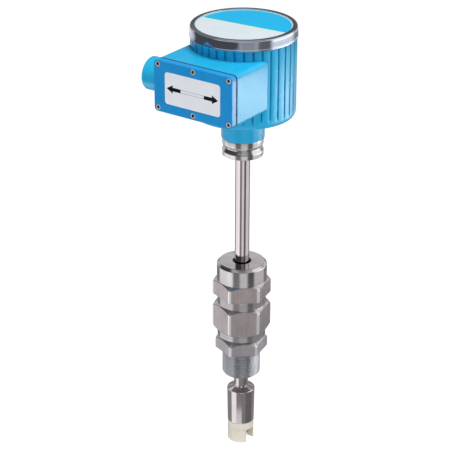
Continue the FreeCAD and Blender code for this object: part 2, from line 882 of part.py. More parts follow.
def cable_plug():
    """Plug on the underside of the board where the signal cable ends."""
    plug = doc.addObject("Part::Box", "cable_plug")
    plug.Label = "cable_plug"
    bind(plug, "Length", size["plug_width"])
    bind(plug, "Width", size["plug_depth"])
    bind(plug, "Height", size["plug_height"])
    bind(plug, "Placement.Base.x", -half("plug_width"))
    bind(plug, "Placement.Base.y", -half("plug_depth"))
    bind(plug, "Placement.Base.z", plug_base)
    pieces.append(plug)


terminal_floor = housing_base + size["box_base"] + size["box_wall"]
terminal_front = size["box_front"] - size["screw_post_length"] - size["terminal_gap"]
terminal_setback = terminal_front - half("terminal_depth")
terminal_places = [
    size["terminal_pitch"] * (step - (size["terminal_count"].value - 1) / 2)
    for step in range(int(size["terminal_count"].value))
]


def terminal_block():
    """Stepped terminal strip on the floor of the box, with a wire way and a clamp screw for each pole."""
    width = size["terminal_pitch"] * size["terminal_count"]
    body = new_body("terminal_block", y=-terminal_setback, z=terminal_floor)
    depth = size["terminal_depth"]
    step_top = size["terminal_height"] - size["terminal_step"]
    extrude(body, "YZ_Plane", [[
        (-depth / 2, 0),
        (depth / 2, 0),
        (depth / 2, size["terminal_height"]),
        (0, size["terminal_height"]),
        (0, step_top),
        (-depth / 2, step_top),
    ]], width, start=-width / 2)
    radius = half("terminal_screw_diameter")
    pockets = [(x, depth / 4, radius + running) for x in terminal_places]
    pocket_depth = size["terminal_screw_height"]
    pocket_floor = size["terminal_height"] - pocket_depth
    extrude(body, "XY_Plane", pockets, pocket_depth, start=pocket_floor, cut=True)
    ways = [(x, step_top / 2, half("wire_way_diameter")) for x in terminal_places]
    extrude(body, "XZ_Plane", ways, depth / 2, cut=True)


def terminal_screws():
    """Brass clamp screws of the terminal strip."""
    radius = half("terminal_screw_diameter")
    height = size["terminal_screw_height"]
    master = ring("terminal_screw", 0, radius, height, 0, piece=False)
    level = terminal_floor + size["terminal_height"] - height
    row = size["terminal_depth"] / 4 - terminal_setback
    copies("terminal_screws", master, [at(x, row, level) for x in terminal_places])


def sensor_body():
    """Tapered steel body at the stem's lower end, hollow below for the pickup and the impeller's tip."""
    body = new_body("sensor_body", z=sensor_base)
    bore = half("stem_diameter") + running
    socket_floor = sensor_height - size["stem_socket_depth"]
    wire_way = half("stem_bore")
    cavity = half("sensor_cavity_diameter")
    cavity_top = size["sensor_cavity_depth"]
    lathe(body, [
        (cavity, 0),
        (half("sensor_bottom_diameter"), 0),
        (half("sensor_top_diameter"), size["sensor_length"]),
        (bore, sensor_height),
        (bore, socket_floor),
        (wire_way, socket_floor),
        (wire_way, cavity_top),
        (cavity, cavity_top),
    ])


def pickup_coil():
    """Potted pickup that senses the impeller's magnets through the end of the tip."""
    pickup = doc.addObject("Part::Cylinder", "pickup_coil")
    pickup.Label = "pickup_coil"
    bind(pickup, "Radius", half("sensor_cavity_diameter") - running)
    bind(pickup, "Height", size["sensor_cavity_depth"] - size["tip_neck_length"])
    bind(pickup, "Placement.Base.z", sensor_base + size["tip_neck_length"])
    pieces.append(pickup)


seal_base = size["tip_length"] + (size["tip_neck_length"] - size["tip_seal_height"]) / 2


def impeller_housing():
    """White plastic tip: a neck into the sensor body, and two cheeks either side of the flow slot."""
    body = new_body("impeller_housing", z=tip_base)
    outer = half("tip_diameter")
    bevel = size["tip_bevel"]
    neck = half("sensor_cavity_diameter") - running
    length = size["tip_length"]
    neck_top = length + size["tip_neck_length"]
    seal_floor = neck - size["tip_seal_width"]
    seal_top = seal_base + size["tip_seal_height"]
    lathe(body, [
        (0, 0),
        (outer - bevel, 0),
        (outer, bevel),
        (outer, length),
        (neck, length),
        (neck, seal_base),
        (seal_floor, seal_base),
        (seal_floor, seal_top),
        (neck, seal_top),
        (neck, neck_top),
        (0, neck_top),
    ])
    side = half("slot_width")
    reach = size["tip_diameter"]
    top = size["axle_height"] + half("impeller_diameter") + size["impeller_tip_gap"]
    slot = [(-side, 0), (side, 0), (side, top), (-side, top)]
    extrude(body, "YZ_Plane", [slot], reach, start=-half("tip_diameter"), cut=True)
    bush_end = side + size["bush_length"]
    hole = (0, size["axle_height"], half("bush_diameter") + running)
    extrude(body, "XZ_Plane", [hole], bush_end * 2, start=-bush_end, cut=True)


def tip_seal():
    """Rubber ring in the groove of the tip's neck."""
    outer = half("sensor_cavity_diameter") - running
    ring("tip_seal", outer - size["tip_seal_width"], outer, size["tip_seal_height"], tip_base + seal_base)


axle_level = tip_base + size["axle_height"]


def axle_bushes():
    """Bearing bushes of the impeller's axle, one in each cheek."""
    length = size["bush_length"]
    bore = half("axle_diameter") + running
    master = ring("axle_bush", bore, half("bush_diameter"), length, 0, piece=False)
    forward = FreeCAD.Rotation(FreeCAD.Vector(1, 0, 0), 90)
    backward = FreeCAD.Rotation(FreeCAD.Vector(1, 0, 0), -90)
    side = half("slot_width")
    front = at(y=-side, z=axle_level, rotation=forward)
    back = at(y=side, z=axle_level, rotation=backward)
    copies("axle_bushes", master, [front, back])


impeller_width = size["slot_width"] - size["impeller_side_gap"] * 2
magnet_step = 2 * math.pi / size["magnet_count"].value
magnet_angles = [magnet_step * (step + 0.5) for step in range(int(size["magnet_count"].value))]
magnet_places = [(math.cos(angle), math.sin(angle)) for angle in magnet_angles]


def impeller():
    """Paddle wheel with curved blades round a hub, which holds the magnets."""
    body = new_body("impeller", z=axle_level)
    start = -impeller_width / 2
    hub = half("hub_diameter")
    extrude(body, "XZ_Plane", [(0, 0, hub)], impeller_width, start)
    thick = half("blade_thickness")
    sweep = size["blade_sweep"]
    reach = half("impeller_diameter")
    curve = size["blade_curve"]
    inner = hub - thick
    outer_low = sweep - thick
    outer_high = sweep + thick
    end = root(reach * reach - outer_high * outer_high)
    blade = extrude(body, "XZ_Plane", [[
        (inner, -thick, curve, True),
        (end, outer_low),
        (end, outer_high, curve, False),
        (inner, thick),
    ]], impeller_width, start)
    repeat_round(body, blade, size["blade_count"], "Y_Axis")
    extrude(body, "XZ_Plane", [(0, 0, half("axle_diameter"))], impeller_width, start, cut=True)
    circle = half("magnet_circle")
    radius = half("magnet_diameter") + running
    pockets = [(circle * across, circle * up, radius) for across, up in magnet_places]
    pocket_depth = size["magnet_length"]
    extrude(body, "XZ_Plane", pockets, pocket_depth, impeller_width / 2 - pocket_depth, cut=True)


def impeller_axle():
    """Hard steel axle pressed through the hub, its ends in the two bushes."""
    body = new_body("impeller_axle", z=axle_level)
    reach = half("slot_width") + size["bush_length"] - passing
    extrude(body, "XZ_Plane", [(0, 0, half("axle_diameter"))], reach * 2, start=-reach)


def impeller_magnets():
    """Small magnets in the front face of the hub."""
    length = size["magnet_length"]
    master = ring("magnet", 0, half("magnet_diameter"), length, 0, piece=False)
    forward = FreeCAD.Rotation(FreeCAD.Vector(1, 0, 0), 90)
    circle = half("magnet_circle")
    depth = impeller_width / 2 - length
    places = [at(circle * across, -depth, axle_level + circle * up, forward) for across, up in magnet_places]
    copies("impeller_magnets", master, places)


process_nipple()
union_seal()
gland_body()
packing_rings()
gland_follower()
gland_nut()
stem_tube()
stem_collar()
collar_seal()
collar_locknut()
stem_grommet()
signal_cable()
head_housing()
lid_seal()
dial_plate()
bezel_ring()
terminal_gasket()
terminal_cover()
terminal_cover_screws()
flow_direction_label()
circuit_board()
board_screws()
cable_plug()
terminal_block()
terminal_screws()
sensor_body()
pickup_coil()
impeller_housing()
tip_seal()
axle_bushes()
impeller()
impeller_axle()
impeller_magnets()
doc.recompute()

faults = [item.Name for item in doc.Objects if {"Invalid", "Error"} & set(item.State)]
faults += [piece.Label for piece in pieces if piece.Shape.isNull() or not piece.Shape.isValid()]
if faults:
    raise RuntimeError("failed: " + ", ".join(faults))
os.makedirs("parts", exist_ok=True)
for piece in pieces:
    piece.Shape.exportStep(f"parts/{piece.Label}.step")
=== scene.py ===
import bmesh
import bpy
import numpy as np
from mathutils import Matrix


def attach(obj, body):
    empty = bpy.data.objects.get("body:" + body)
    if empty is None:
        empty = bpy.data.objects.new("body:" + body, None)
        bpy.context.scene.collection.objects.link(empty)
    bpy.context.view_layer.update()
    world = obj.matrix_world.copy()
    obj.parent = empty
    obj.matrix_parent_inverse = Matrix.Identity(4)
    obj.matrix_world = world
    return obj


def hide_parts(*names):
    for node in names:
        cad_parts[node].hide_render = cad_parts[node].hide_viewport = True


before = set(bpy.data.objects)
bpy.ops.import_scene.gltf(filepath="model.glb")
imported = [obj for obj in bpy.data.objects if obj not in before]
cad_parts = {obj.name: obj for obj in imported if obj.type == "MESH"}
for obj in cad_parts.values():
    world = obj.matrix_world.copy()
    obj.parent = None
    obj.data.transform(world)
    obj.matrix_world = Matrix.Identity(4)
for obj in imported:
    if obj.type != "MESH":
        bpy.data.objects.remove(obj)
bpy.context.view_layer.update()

# Process nipple: screws into the pipe's boss and seals on the flat under its hexagon. It is turned from
# drawn hexagon bar, with a G 1 1/2 pipe thread cut below and a neck above that the gland body screws on.
MM = 0.001
STEM_WAY = 9.3
HEX_TURN, BEVEL_SLOPE = -20.0, 0.7
NIPPLE_FLATS, NIPPLE_HEX_TOP, SEAT_RADIUS = 58.0, 17.5, 26.0
NIPPLE_NECK_RADIUS, NIPPLE_NECK_TOP = 20.0, 30.5
THREAD_RADIUS, THREAD_PITCH, THREAD_DEPTH, CREST_FULLNESS = 23.9, 2.309, 1.35, 1.3
THREAD_END, LEAD_IN_RADIUS = -36.5, 21.4
RUNOUT_RADIUS, RUNOUT_START = 22.9, -2.6
CORNER_STEPS = 5


def profile(rows, angles, steps=CORNER_STEPS):
    """Closed profile with a column for each angle. A row is a corner as (radius, height, cut), each a number
    or one value for each angle. The corner becomes a quadratic curve that starts one cut before it and ends
    one cut after it, with the corner as its control point."""
    rows = np.array([[np.broadcast_to(value, angles.shape) for value in row] for row in rows])
    corners, cuts = np.moveaxis(rows[:, :2], 1, -1), rows[:, 2, :, None]
    back, on = np.roll(corners, 1, 0) - corners, np.roll(corners, -1, 0) - corners
    start, end = (
        corners + leg * np.minimum(cuts / np.linalg.norm(leg, axis=-1, keepdims=True), 0.45)
        for leg in (back, on)
    )
    t = np.linspace(0, 1, steps)[:, None, None]
    curve = (1 - t) ** 2 * start[:, None] + 2 * t * (1 - t) * corners[:, None] + t**2 * end[:, None]
    return curve.reshape(-1, len(angles), 2)


def around(rows, angles):
    """Rows of (radius, height) carried round the upright axis: x is the radius times the cosine of the
    angle, y the radius times its sine."""
    across = np.stack([np.cos(angles), np.sin(angles), 0 * angles], -1)
    return rows[..., :1] * across + rows[..., 1:] * np.array([0.0, 0.0, 1.0])


def skin(name, *grids, rows_close=True, window=None, mend=None):
    """Object with quads between neighbouring points of grids (copies, rows, columns, 3) in millimetres. The
    columns close on themselves. Faces are turned outwards by the sign of the volume they enclose. Quads
    whose middle lies in the window are left out. Where a shell is open, mend closes it from its open
    edges."""
    points, quads, count = [], [], 0
    for grid in grids:
        grid = grid.reshape((-1,) + grid.shape[-3:])
        number = count + np.arange(grid[..., 0].size).reshape(grid.shape[:3])
        count += number.size
        if rows_close:
            number = np.concatenate([number, number[:, :1]], 1)
        number = np.concatenate([number, number[:, :, :1]], 2)
        corners = number[:, :-1, :-1], number[:, :-1, 1:], number[:, 1:, 1:], number[:, 1:, :-1]
        points.append(grid.reshape(-1, 3))
        quads.append(np.stack(corners, -1).reshape(-1, 4))
    points, quads = np.concatenate(points), np.concatenate(quads)
    a, b, c, d = (points[quads[:, corner]] for corner in range(4))
    if (np.cross(b - a, c - a) * a + np.cross(c - a, d - a) * a).sum() < 0:
        quads = quads[:, ::-1]
    if window is not None:
        quads = quads[~window(points[quads].mean(1))]
    mesh = bpy.data.meshes.new(name)
    mesh.from_pydata((points * MM).tolist(), [], quads.tolist())
    mesh.shade_smooth()
    shell = bmesh.new()
    shell.from_mesh(mesh)
    bmesh.ops.remove_doubles(shell, verts=shell.verts, dist=1e-6)
    if mend is not None:
        mend(shell, edges=[edge for edge in shell.edges if edge.is_boundary])
        bmesh.ops.recalc_face_normals(shell, faces=shell.faces)
    shell.to_mesh(mesh)
    shell.free()
    mesh.set_sharp_from_angle(angle=np.radians(50))
    piece = bpy.data.objects.new(name, mesh)
    bpy.context.scene.collection.objects.link(piece)
    piece.modifiers.new("even_shading", "WEIGHTED_NORMAL").keep_sharp = True
    return piece


def hex_columns():
    """Angles of the columns of a hexagon piece, six sectors round, crowded towards each hexagon corner."""
    place = np.linspace(-1, 1, 41)[:-1]
    sector = 30 * np.sign(place) * np.abs(place) ** 1.8
    return np.radians((HEX_TURN + 60 * np.arange(6)[:, None] + sector).ravel())


def hex_reach(flats, angles, sharpness=90):
    """Distance from the axis to a hexagon's side: half the flats over the largest cosine of the angle to a
    side's normal. A high power mean stands for the largest, which rounds the corners."""
    normals = np.radians(HEX_TURN + 30 + 60 * np.arange(6))
    cosines = np.maximum(np.cos(angles[:, None] - normals), 0)
    return flats / 2 / (cosines**sharpness).sum(1) ** (1 / sharpness)


def thread_fall(level, pitch, angles):
    """Share of a thread's depth, nought on the crest and one at the root: it follows the cosine of a phase
    that climbs one pitch a turn."""
    return 0.5 - 0.5 * np.cos(2 * np.pi * level / pitch - angles)


def mark_facets(piece, side, edge):
    """Attributes that rise with the distance from the axis: facet is one beyond a hexagon's side, and the
    second is one beyond the edge between two sides, where the steel is painted lighter, partly as wear and
    partly as a painted highlight."""
    place = np.empty(len(piece.data.vertices) * 3)
    piece.data.vertices.foreach_get("co", place)
    distance = np.hypot(*place.reshape(-1, 3)[:, :2].T) / MM
    for name, start, width in (("facet", side, 0.2), ("worn_edge_highlight", edge, 0.5)):
        mark = piece.data.attributes.new(name, "FLOAT", "POINT")
        mark.data.foreach_set("value", np.clip((distance - start) / width, 0, 1).astype(np.float32))


def put(tree, kind, inputs, **settings):
    """Shader node of that kind, its inputs set to numbers or linked to another node's output."""
    made = tree.nodes.new("ShaderNode" + kind)
    for key, value in settings.items():
        setattr(made, key, value)
    for key, value in inputs.items():
        if isinstance(value, bpy.types.NodeSocket):
            tree.links.new(value, made.inputs[key])
        else:
            made.inputs[key].default_value = value
    return made


def mixed(tree, kind, share, first, second, **settings):
    """Mix of that kind of data, the first value at a share of nought and the second at one."""
    place = {"FLOAT": 2, "VECTOR": 4, "RGBA": 6}[kind]
    made = put(tree, "Mix", {0: share, place: first, place + 1: second}, data_type=kind, **settings)
    return made.outputs[place // 2 - 1]


def reckoned(tree, operation, *values):
    """Result of a Math node."""
    return put(tree, "Math", dict(enumerate(values)), operation=operation).outputs[0]


def cleared(tree, value):
    """Noise spread over nought to one, with its rare ends cut off."""
    return put(tree, "MapRange", {"Value": value, "From Min": 0.3, "From Max": 0.7}).outputs[0]


def new_material(name, **sockets):
    """Material with one Principled shader, its even values set on the shader's own sockets."""
    material = bpy.data.materials.new(name)
    material.use_nodes = True
    shader = material.node_tree.nodes["Principled BSDF"]
    for key, value in sockets.items():
        shader.inputs[key.replace("_", " ")].default_value = value
    return material, material.node_tree, shader


def noise(tree, stretch, detail=3.0):
    """Noise in object coordinates, its grain given in cycles a metre along x, y and z."""
    where = put(tree, "TexCoord", {})
    squeeze = put(tree, "Mapping", {"Vector": where.outputs["Object"], "Scale": stretch})
    return put(tree, "TexNoise", {"Vector": squeeze.outputs[0], "Scale": 1.0, "Detail": detail}).outputs[0]


TURNING_MARKS, DRAWING_MARKS, CLOUDS = (30.0, 30.0, 1100.0), (700.0, 700.0, 25.0), (55.0, 55.0, 40.0)
CLOUD_SHARE = 0.55
DRAWN_TINT, DRAWN_ROUGHER = (0.95, 0.895, 0.90, 1.0), 0.30
# Lighter tone of the hexagons' edges: partly wear, partly a painted highlight
WORN_EDGE_HIGHLIGHT_TONE = (0.92, 0.90, 0.91, 1.0)


def steel(name, dark, light, roughness, relief, streak=0.0, wave=0.0):
    """Bare steel. Noise drawn out round the axis gives turning marks, and noise drawn out along it the grain
    of drawn bar where the facet attribute is one. The marks blend two tones, spread the roughness and make
    the relief on top of a broad wave, and the gloss streaks across them. Drawn sides are warmer and the
    rougher by a fixed step, and the edges between hexagon sides are painted lighter, partly as wear and
    partly as a painted highlight."""
    material, tree, shader = new_material(name, Metallic=1.0, Anisotropic=streak)
    facet = put(tree, "Attribute", {}, attribute_name="facet").outputs["Fac"]
    worn_edge_highlight = put(tree, "Attribute", {}, attribute_name="worn_edge_highlight").outputs["Fac"]
    marks = mixed(tree, "FLOAT", facet, noise(tree, TURNING_MARKS, 4.0), noise(tree, DRAWING_MARKS, 4.0))
    cloud = noise(tree, CLOUDS, 4.0)
    clear = cleared(tree, mixed(tree, "FLOAT", CLOUD_SHARE, marks, cloud))
    tone = mixed(tree, "RGBA", clear, dark + (1.0,), light + (1.0,))
    tone = mixed(tree, "RGBA", facet, tone, DRAWN_TINT, blend_type="MULTIPLY")
    # Edges between hexagon sides get the lighter tone: partly wear, partly a painted highlight
    tone = mixed(tree, "RGBA", worn_edge_highlight, tone, WORN_EDGE_HIGHLIGHT_TONE)
    spread = put(tree, "MapRange", {"Value": clear, "To Min": roughness[0], "To Max": roughness[1]})
    spread = reckoned(tree, "MULTIPLY_ADD", facet, DRAWN_ROUGHER, spread.outputs[0])
    rolling = put(tree, "Bump", {"Strength": 1.0, "Distance": wave, "Height": cloud}).outputs[0]
    lifted = {"Strength": 0.6, "Distance": relief, "Height": marks, "Normal": rolling}
    raised = put(tree, "Bump", lifted).outputs[0]
    where = put(tree, "TexCoord", {}).outputs["Object"]
    upright = (0.0, 0.0, 1.0)
    across = put(tree, "VectorMath", {0: upright, 1: where}, operation="CROSS_PRODUCT").outputs[0]
    grain = put(
        tree, "VectorTransform", {"Vector": mixed(tree, "VECTOR", facet, across, upright)},
        vector_type="VECTOR", convert_from="OBJECT", convert_to="WORLD",
    ).outputs[0]
    facing = put(tree, "NewGeometry", {}).outputs["Normal"]
    smear = put(tree, "VectorMath", {0: grain, 1: facing}, operation="CROSS_PRODUCT").outputs[0]
    given = {"Base Color": tone, "Roughness": spread, "Normal": raised, "Tangent": smear}
    for socket, value in given.items():
        tree.links.new(value, shader.inputs[socket])
    return material


def show(piece, body, slot, material, *nodes):
    """Gives a new piece its material and declares its body and the solids it stands for, which it hides. The
    slot is not used.
    """
    piece.data.materials.append(material)
    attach(piece, body)
    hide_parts(*nodes)


hex_angles = hex_columns()
reach = hex_reach(NIPPLE_FLATS, hex_angles)
loop = profile([
    (STEM_WAY, THREAD_END, 0.5),
    (LEAD_IN_RADIUS, THREAD_END, 0.2),
    (RUNOUT_RADIUS, RUNOUT_START, 0.2),
    (RUNOUT_RADIUS, 0.0, 0.3),
    (reach, 0.0, 0.45),
    (reach, NIPPLE_HEX_TOP - BEVEL_SLOPE * (reach - SEAT_RADIUS), 0.5),
    (SEAT_RADIUS, NIPPLE_HEX_TOP, 0.4),
    (NIPPLE_NECK_RADIUS, NIPPLE_HEX_TOP, 0.3),
    (NIPPLE_NECK_RADIUS, NIPPLE_NECK_TOP, 0.5),
    (STEM_WAY, NIPPLE_NECK_TOP, 0.5),
], hex_angles)
# The thread stands between the second and the third corner, and the cone of the lead-in cuts its lower end
level = np.arange(THREAD_END + 0.3, RUNOUT_START - 0.3, THREAD_PITCH / 9)[:, None]
ribs = THREAD_RADIUS - THREAD_DEPTH * thread_fall(level, THREAD_PITCH, hex_angles) ** CREST_FULLNESS
ribs = np.stack([np.minimum(ribs, level - THREAD_END + LEAD_IN_RADIUS), level + 0 * hex_angles], -1)
loop = np.concatenate([loop[:2 * CORNER_STEPS], ribs, loop[2 * CORNER_STEPS:]])
nipple = skin("process_nipple_turned", around(loop, hex_angles))
mark_facets(nipple, side=28.6, edge=32.2)
thread_steel = steel("thread_steel", (0.46, 0.465, 0.49), (0.66, 0.665, 0.70), (0.26, 0.34), 3e-6)
show(nipple, "fitting", "fitting_steel", thread_steel, "process_nipple")


# Union seal: flat black rubber washer squeezed between the nipple's hexagon and the gland body.
# Only its edge shows, as a dark line.
def finish(name, dark, light, roughness, cloud, grain, relief, **sockets):
    """Noise in object coordinates at a broad scale blends two tones and spreads the roughness, and noise at
    a fine scale lifts the surface by the relief; both scales are in cycles a metre."""
    material, tree, shader = new_material(name, **sockets)
    clear = cleared(tree, noise(tree, (cloud,) * 3))
    tone = mixed(tree, "RGBA", clear, dark + (1.0,), light + (1.0,))
    tone.node.name = "tone"
    spread = put(tree, "MapRange", {"Value": clear, "To Min": roughness[0], "To Max": roughness[1]})
    fine = noise(tree, (grain,) * 3, 2.0)
    raised = put(tree, "Bump", {"Strength": 0.5, "Distance": relief, "Height": fine})
    tree.links.new(tone, shader.inputs["Base Color"])
    tree.links.new(spread.outputs[0], shader.inputs["Roughness"])
    tree.links.new(raised.outputs[0], shader.inputs["Normal"])
    return material


def dress(material, *nodes):
    """Puts a material on solids that are shown as they are."""
    for node in nodes:
        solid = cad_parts[node]
        if not solid.material_slots:
            solid.data.materials.append(material)
        for place in solid.material_slots:
            place.material = material


black_rubber = finish(
    "black_rubber", (0.012, 0.012, 0.014), (0.03, 0.03, 0.033), (0.55, 0.8), 180, 2500, 3e-5,
    Specular_IOR_Level=0.2,
)
dress(black_rubber, "union_seal", "collar_seal", "stem_grommet", "lid_seal", "tip_seal")

# Gland body: drawn hexagon bar turned down to a round collar at each end, screwed on the nipple's neck. It
# is bored for the packing, with a thread above for the nut. Both ends of the hexagon are bevelled.
CLEARANCE = 0.05
GLAND_FLATS, GLAND_COLLAR = 64.0, 30.3
GLAND_BASE, GLAND_HEX_BASE, GLAND_HEX_TOP, GLAND_TOP = 19.5, 28.0, 64.6, 76.5
NUT_BORE, CHAMBER_RADIUS = 21.8, 15.0
SOCKET_END, CHAMBER_FLOOR, CHAMBER_MOUTH = 30.8, 35.5, 55.5

fitting_steel = steel("fitting_steel", (0.41, 0.38, 0.385), (0.62, 0.59, 0.60), (0.09, 0.17), 3e-6)
neck_fit = NIPPLE_NECK_RADIUS + CLEARANCE
reach = hex_reach(GLAND_FLATS, hex_angles)
bevel = BEVEL_SLOPE * (reach - GLAND_COLLAR)
gland = skin("gland_body_turned", around(profile([
    (neck_fit, GLAND_BASE, 0.5),
    (GLAND_COLLAR, GLAND_BASE, 0.6),
    (GLAND_COLLAR, GLAND_HEX_BASE, 0.3),
    (reach, GLAND_HEX_BASE + bevel, 0.5),
    (reach, GLAND_HEX_TOP - bevel, 0.5),
    (GLAND_COLLAR, GLAND_HEX_TOP, 0.3),
    (GLAND_COLLAR, GLAND_TOP, 0.6),
    (NUT_BORE, GLAND_TOP, 0.5),
    (NUT_BORE, CHAMBER_MOUTH, 0.3),
    (CHAMBER_RADIUS, CHAMBER_MOUTH, 0.3),
    (CHAMBER_RADIUS, CHAMBER_FLOOR, 0.3),
    (STEM_WAY, CHAMBER_FLOOR, 0.3),
    (STEM_WAY, SOCKET_END, 0.3),
    (neck_fit, SOCKET_END, 0.3),
], hex_angles), hex_angles))
mark_facets(gland, side=31.7, edge=35.6)
show(gland, "fitting", "fitting_steel", fitting_steel, "gland_body")

# Packing: three square rings of white packing round the stem, and the turned brass follower that the nut
# presses down on them.
packing_white = finish("packing_white", (0.72, 0.71, 0.67), (0.86, 0.85, 0.81), (0.35, 0.5), 400, 3000, 2e-5)
dress(packing_white, "packing_rings")
brass = finish("brass", (0.52, 0.34, 0.12), (0.70, 0.48, 0.19), (0.25, 0.4), 150, 2600, 5e-6, Metallic=1.0)
dress(brass, "gland_follower", "terminal_screws")

# Gland nut: squeezes the packing when it is screwed down. It is turned from hexagon bar, with a round crown
# over the hexagon, a bevel round the top and a wide recess where the stem comes through.
NUT_FLATS, NUT_CROWN = 64.0, 31.2
NUT_HEX_TOP, NUT_TOP = 97.3, 121.0
NUT_THREAD_RADIUS, NUT_THREAD_END = 21.5, 58.5
CROWN_BEVEL, CROWN_DROP = 3.2, 3.5
RECESS_RADIUS, RECESS_FLOOR = 11.6, NUT_TOP - 8.0

reach = hex_reach(NUT_FLATS, hex_angles)
nut = skin("gland_nut_turned", around(profile([
    (STEM_WAY, NUT_THREAD_END, 0.4),
    (NUT_THREAD_RADIUS, NUT_THREAD_END, 0.6),
    (NUT_THREAD_RADIUS, GLAND_TOP, 0.3),
    (reach, GLAND_TOP, 0.45),
    (reach, NUT_HEX_TOP - BEVEL_SLOPE * (reach - NUT_CROWN), 0.5),
    (NUT_CROWN, NUT_HEX_TOP, 0.3),
    (NUT_CROWN, NUT_TOP - CROWN_DROP, 0.5),
    (NUT_CROWN - CROWN_BEVEL, NUT_TOP, 0.5),
    (RECESS_RADIUS, NUT_TOP, 0.5),
    (RECESS_RADIUS, RECESS_FLOOR, 0.3),
    (STEM_WAY, RECESS_FLOOR, 0.4),
], hex_angles), hex_angles))
mark_facets(nut, side=31.7, edge=35.6)
show(nut, "gland_nut", "fitting_steel", fitting_steel, "gland_nut")

# Stem: polished steel tube that slides and turns in the packing. It carries the head above and the sensor
# below, and the signal cable runs inside it.
STEM_RADIUS, STEM_BORE = 9.0, 6.5
STEM_END, STEM_TOP = -71.4, 307.8

polished_steel = steel(
    "polished_steel", (0.585, 0.52, 0.53), (0.685, 0.62, 0.63), (0.05, 0.11), 1e-6, streak=0.35
)
ring_angles = np.radians(np.arange(0, 360, 3.0))
stem = skin("stem_tube_polished", around(profile([
    (STEM_BORE, STEM_END, 0.4),
    (STEM_RADIUS, STEM_END, 0.4),
    (STEM_RADIUS, STEM_TOP, 0.4),
    (STEM_BORE, STEM_TOP, 0.4),
], ring_angles), ring_angles))
show(stem, "meter", "polished_steel", polished_steel, "stem_tube")

# Collar: turned and polished steel ring under the head with a vee groove round it. Its neck passes up into
# the housing, where a locknut draws it tight on a rubber ring.
COLLAR_RADIUS, COLLAR_BASE, COLLAR_TOP = 25.15, 264.7, 286.8
GROOVE_RADIUS, GROOVE_LOW, GROOVE_MIDDLE, GROOVE_HIGH = 22.6, 270.8, 275.15, 279.5
SEAL_OUTER, SEAL_INNER, SEAL_FLOOR = 21.05, 16.95, 285.3
COLLAR_NECK_RADIUS, COLLAR_NECK_TOP = 14.0, 304.8

stem_fit = STEM_RADIUS + CLEARANCE
collar = skin("stem_collar_turned", around(profile([
    (stem_fit, COLLAR_BASE, 0.4),
    (COLLAR_RADIUS, COLLAR_BASE, 0.8),
    (COLLAR_RADIUS, GROOVE_LOW, 0.5),
    (GROOVE_RADIUS, GROOVE_MIDDLE, 0.8),
    (COLLAR_RADIUS, GROOVE_HIGH, 0.5),
    (COLLAR_RADIUS, COLLAR_TOP, 0.6),
    (SEAL_OUTER, COLLAR_TOP, 0.2),
    (SEAL_OUTER, SEAL_FLOOR, 0.2),
    (SEAL_INNER, SEAL_FLOOR, 0.2),
    (SEAL_INNER, COLLAR_TOP, 0.2),
    (COLLAR_NECK_RADIUS, COLLAR_TOP, 0.2),
    (COLLAR_NECK_RADIUS, COLLAR_NECK_TOP, 0.6),
    (stem_fit, COLLAR_NECK_TOP, 0.4),
], ring_angles), ring_angles))
satin_steel = steel("satin_steel", (0.52, 0.50, 0.505), (0.66, 0.64, 0.645), (0.09, 0.15), 2e-6)
show(collar, "meter", "polished_steel", satin_steel, "stem_collar")
dress(fitting_steel, "collar_locknut")

# Signal cable: grey sheathed lead that runs up the middle of the stem from the pickup coil, through a rubber
# grommet at the stem's top, to a plug under the board.
cable_grey = finish("cable_grey", (0.05, 0.05, 0.055), (0.09, 0.09, 0.1), (0.4, 0.6), 250, 3000, 1e-5)
dress(cable_grey, "signal_cable")

# Head housing, pot and neck: injection-moulded blue plastic, a round pot with thirty-six upright flutes on a
# plain neck. The flutes start above the rounded lower edge and run up under the bezel.
POT_RADIUS, POT_BASE, POT_TOP, POT_CORNER = 62.8, 317.5, 414.3, 6.0
POT_BORE, POT_FLOOR, RIM_RADIUS, RIM_TOP = 56.0, 322.5, 60.0, 422.9
NECK_RADIUS, NECK_BORE, COLLAR_HOLE, NECK_FLANGE_TOP = 26.1, 21.5, 14.3, 294.8
FLUTES, FLUTE_START, FLUTE_RAMP, FLUTE_FULL, FLUTE_END = 36, 323.8, 5.0, 334.0, 412.0
RIB_ARCH, GROOVE_STEP, GROOVE_EDGE, GROOVE_SIDE = 0.6, 1.9, 0.74, 0.18
POT_STEPS = 7

housing_blue = finish(
    "housing_blue", (0.013, 0.370, 0.635), (0.016, 0.400, 0.675), (0.22, 0.28), 60, 900, 5e-6, IOR=1.5
)


def eased(share):
    """Smooth step from nought to one: three times the square less twice the cube."""
    return share**2 * (3 - 2 * share)


share = np.array([-1, -0.92, -0.87, -0.81, -0.74, -0.4, 0, 0.4, 0.74, 0.81, 0.87, 0.92])
flute_angles = np.radians((360 / FLUTES * (np.arange(FLUTES)[:, None] + share / 2)).ravel())
# Each rib falls away from its crest with the square of the distance to its middle, and then in a smooth step
# down to the groove's floor
step = eased(np.clip((np.abs(share) - GROOVE_EDGE) / GROOVE_SIDE, 0, 1))
fall = np.tile(RIB_ARCH * share**2 + GROOVE_STEP * step, FLUTES)
loop = profile([
    (COLLAR_HOLE, COLLAR_TOP, 0.3),
    (NECK_RADIUS, COLLAR_TOP, 0.5),
    (NECK_RADIUS, POT_BASE, 1.5),
    (POT_RADIUS, POT_BASE, POT_CORNER),
    (POT_RADIUS - fall, POT_TOP, 0.3),
    (RIM_RADIUS, POT_TOP, 0.2),
    (RIM_RADIUS, RIM_TOP, 0.3),
    (POT_BORE, RIM_TOP, 0.3),
    (POT_BORE, POT_FLOOR, 0.5),
    (NECK_BORE, POT_FLOOR, 0.5),
    (NECK_BORE, NECK_FLANGE_TOP, 0.3),
    (COLLAR_HOLE, NECK_FLANGE_TOP, 0.3),
], flute_angles, POT_STEPS)
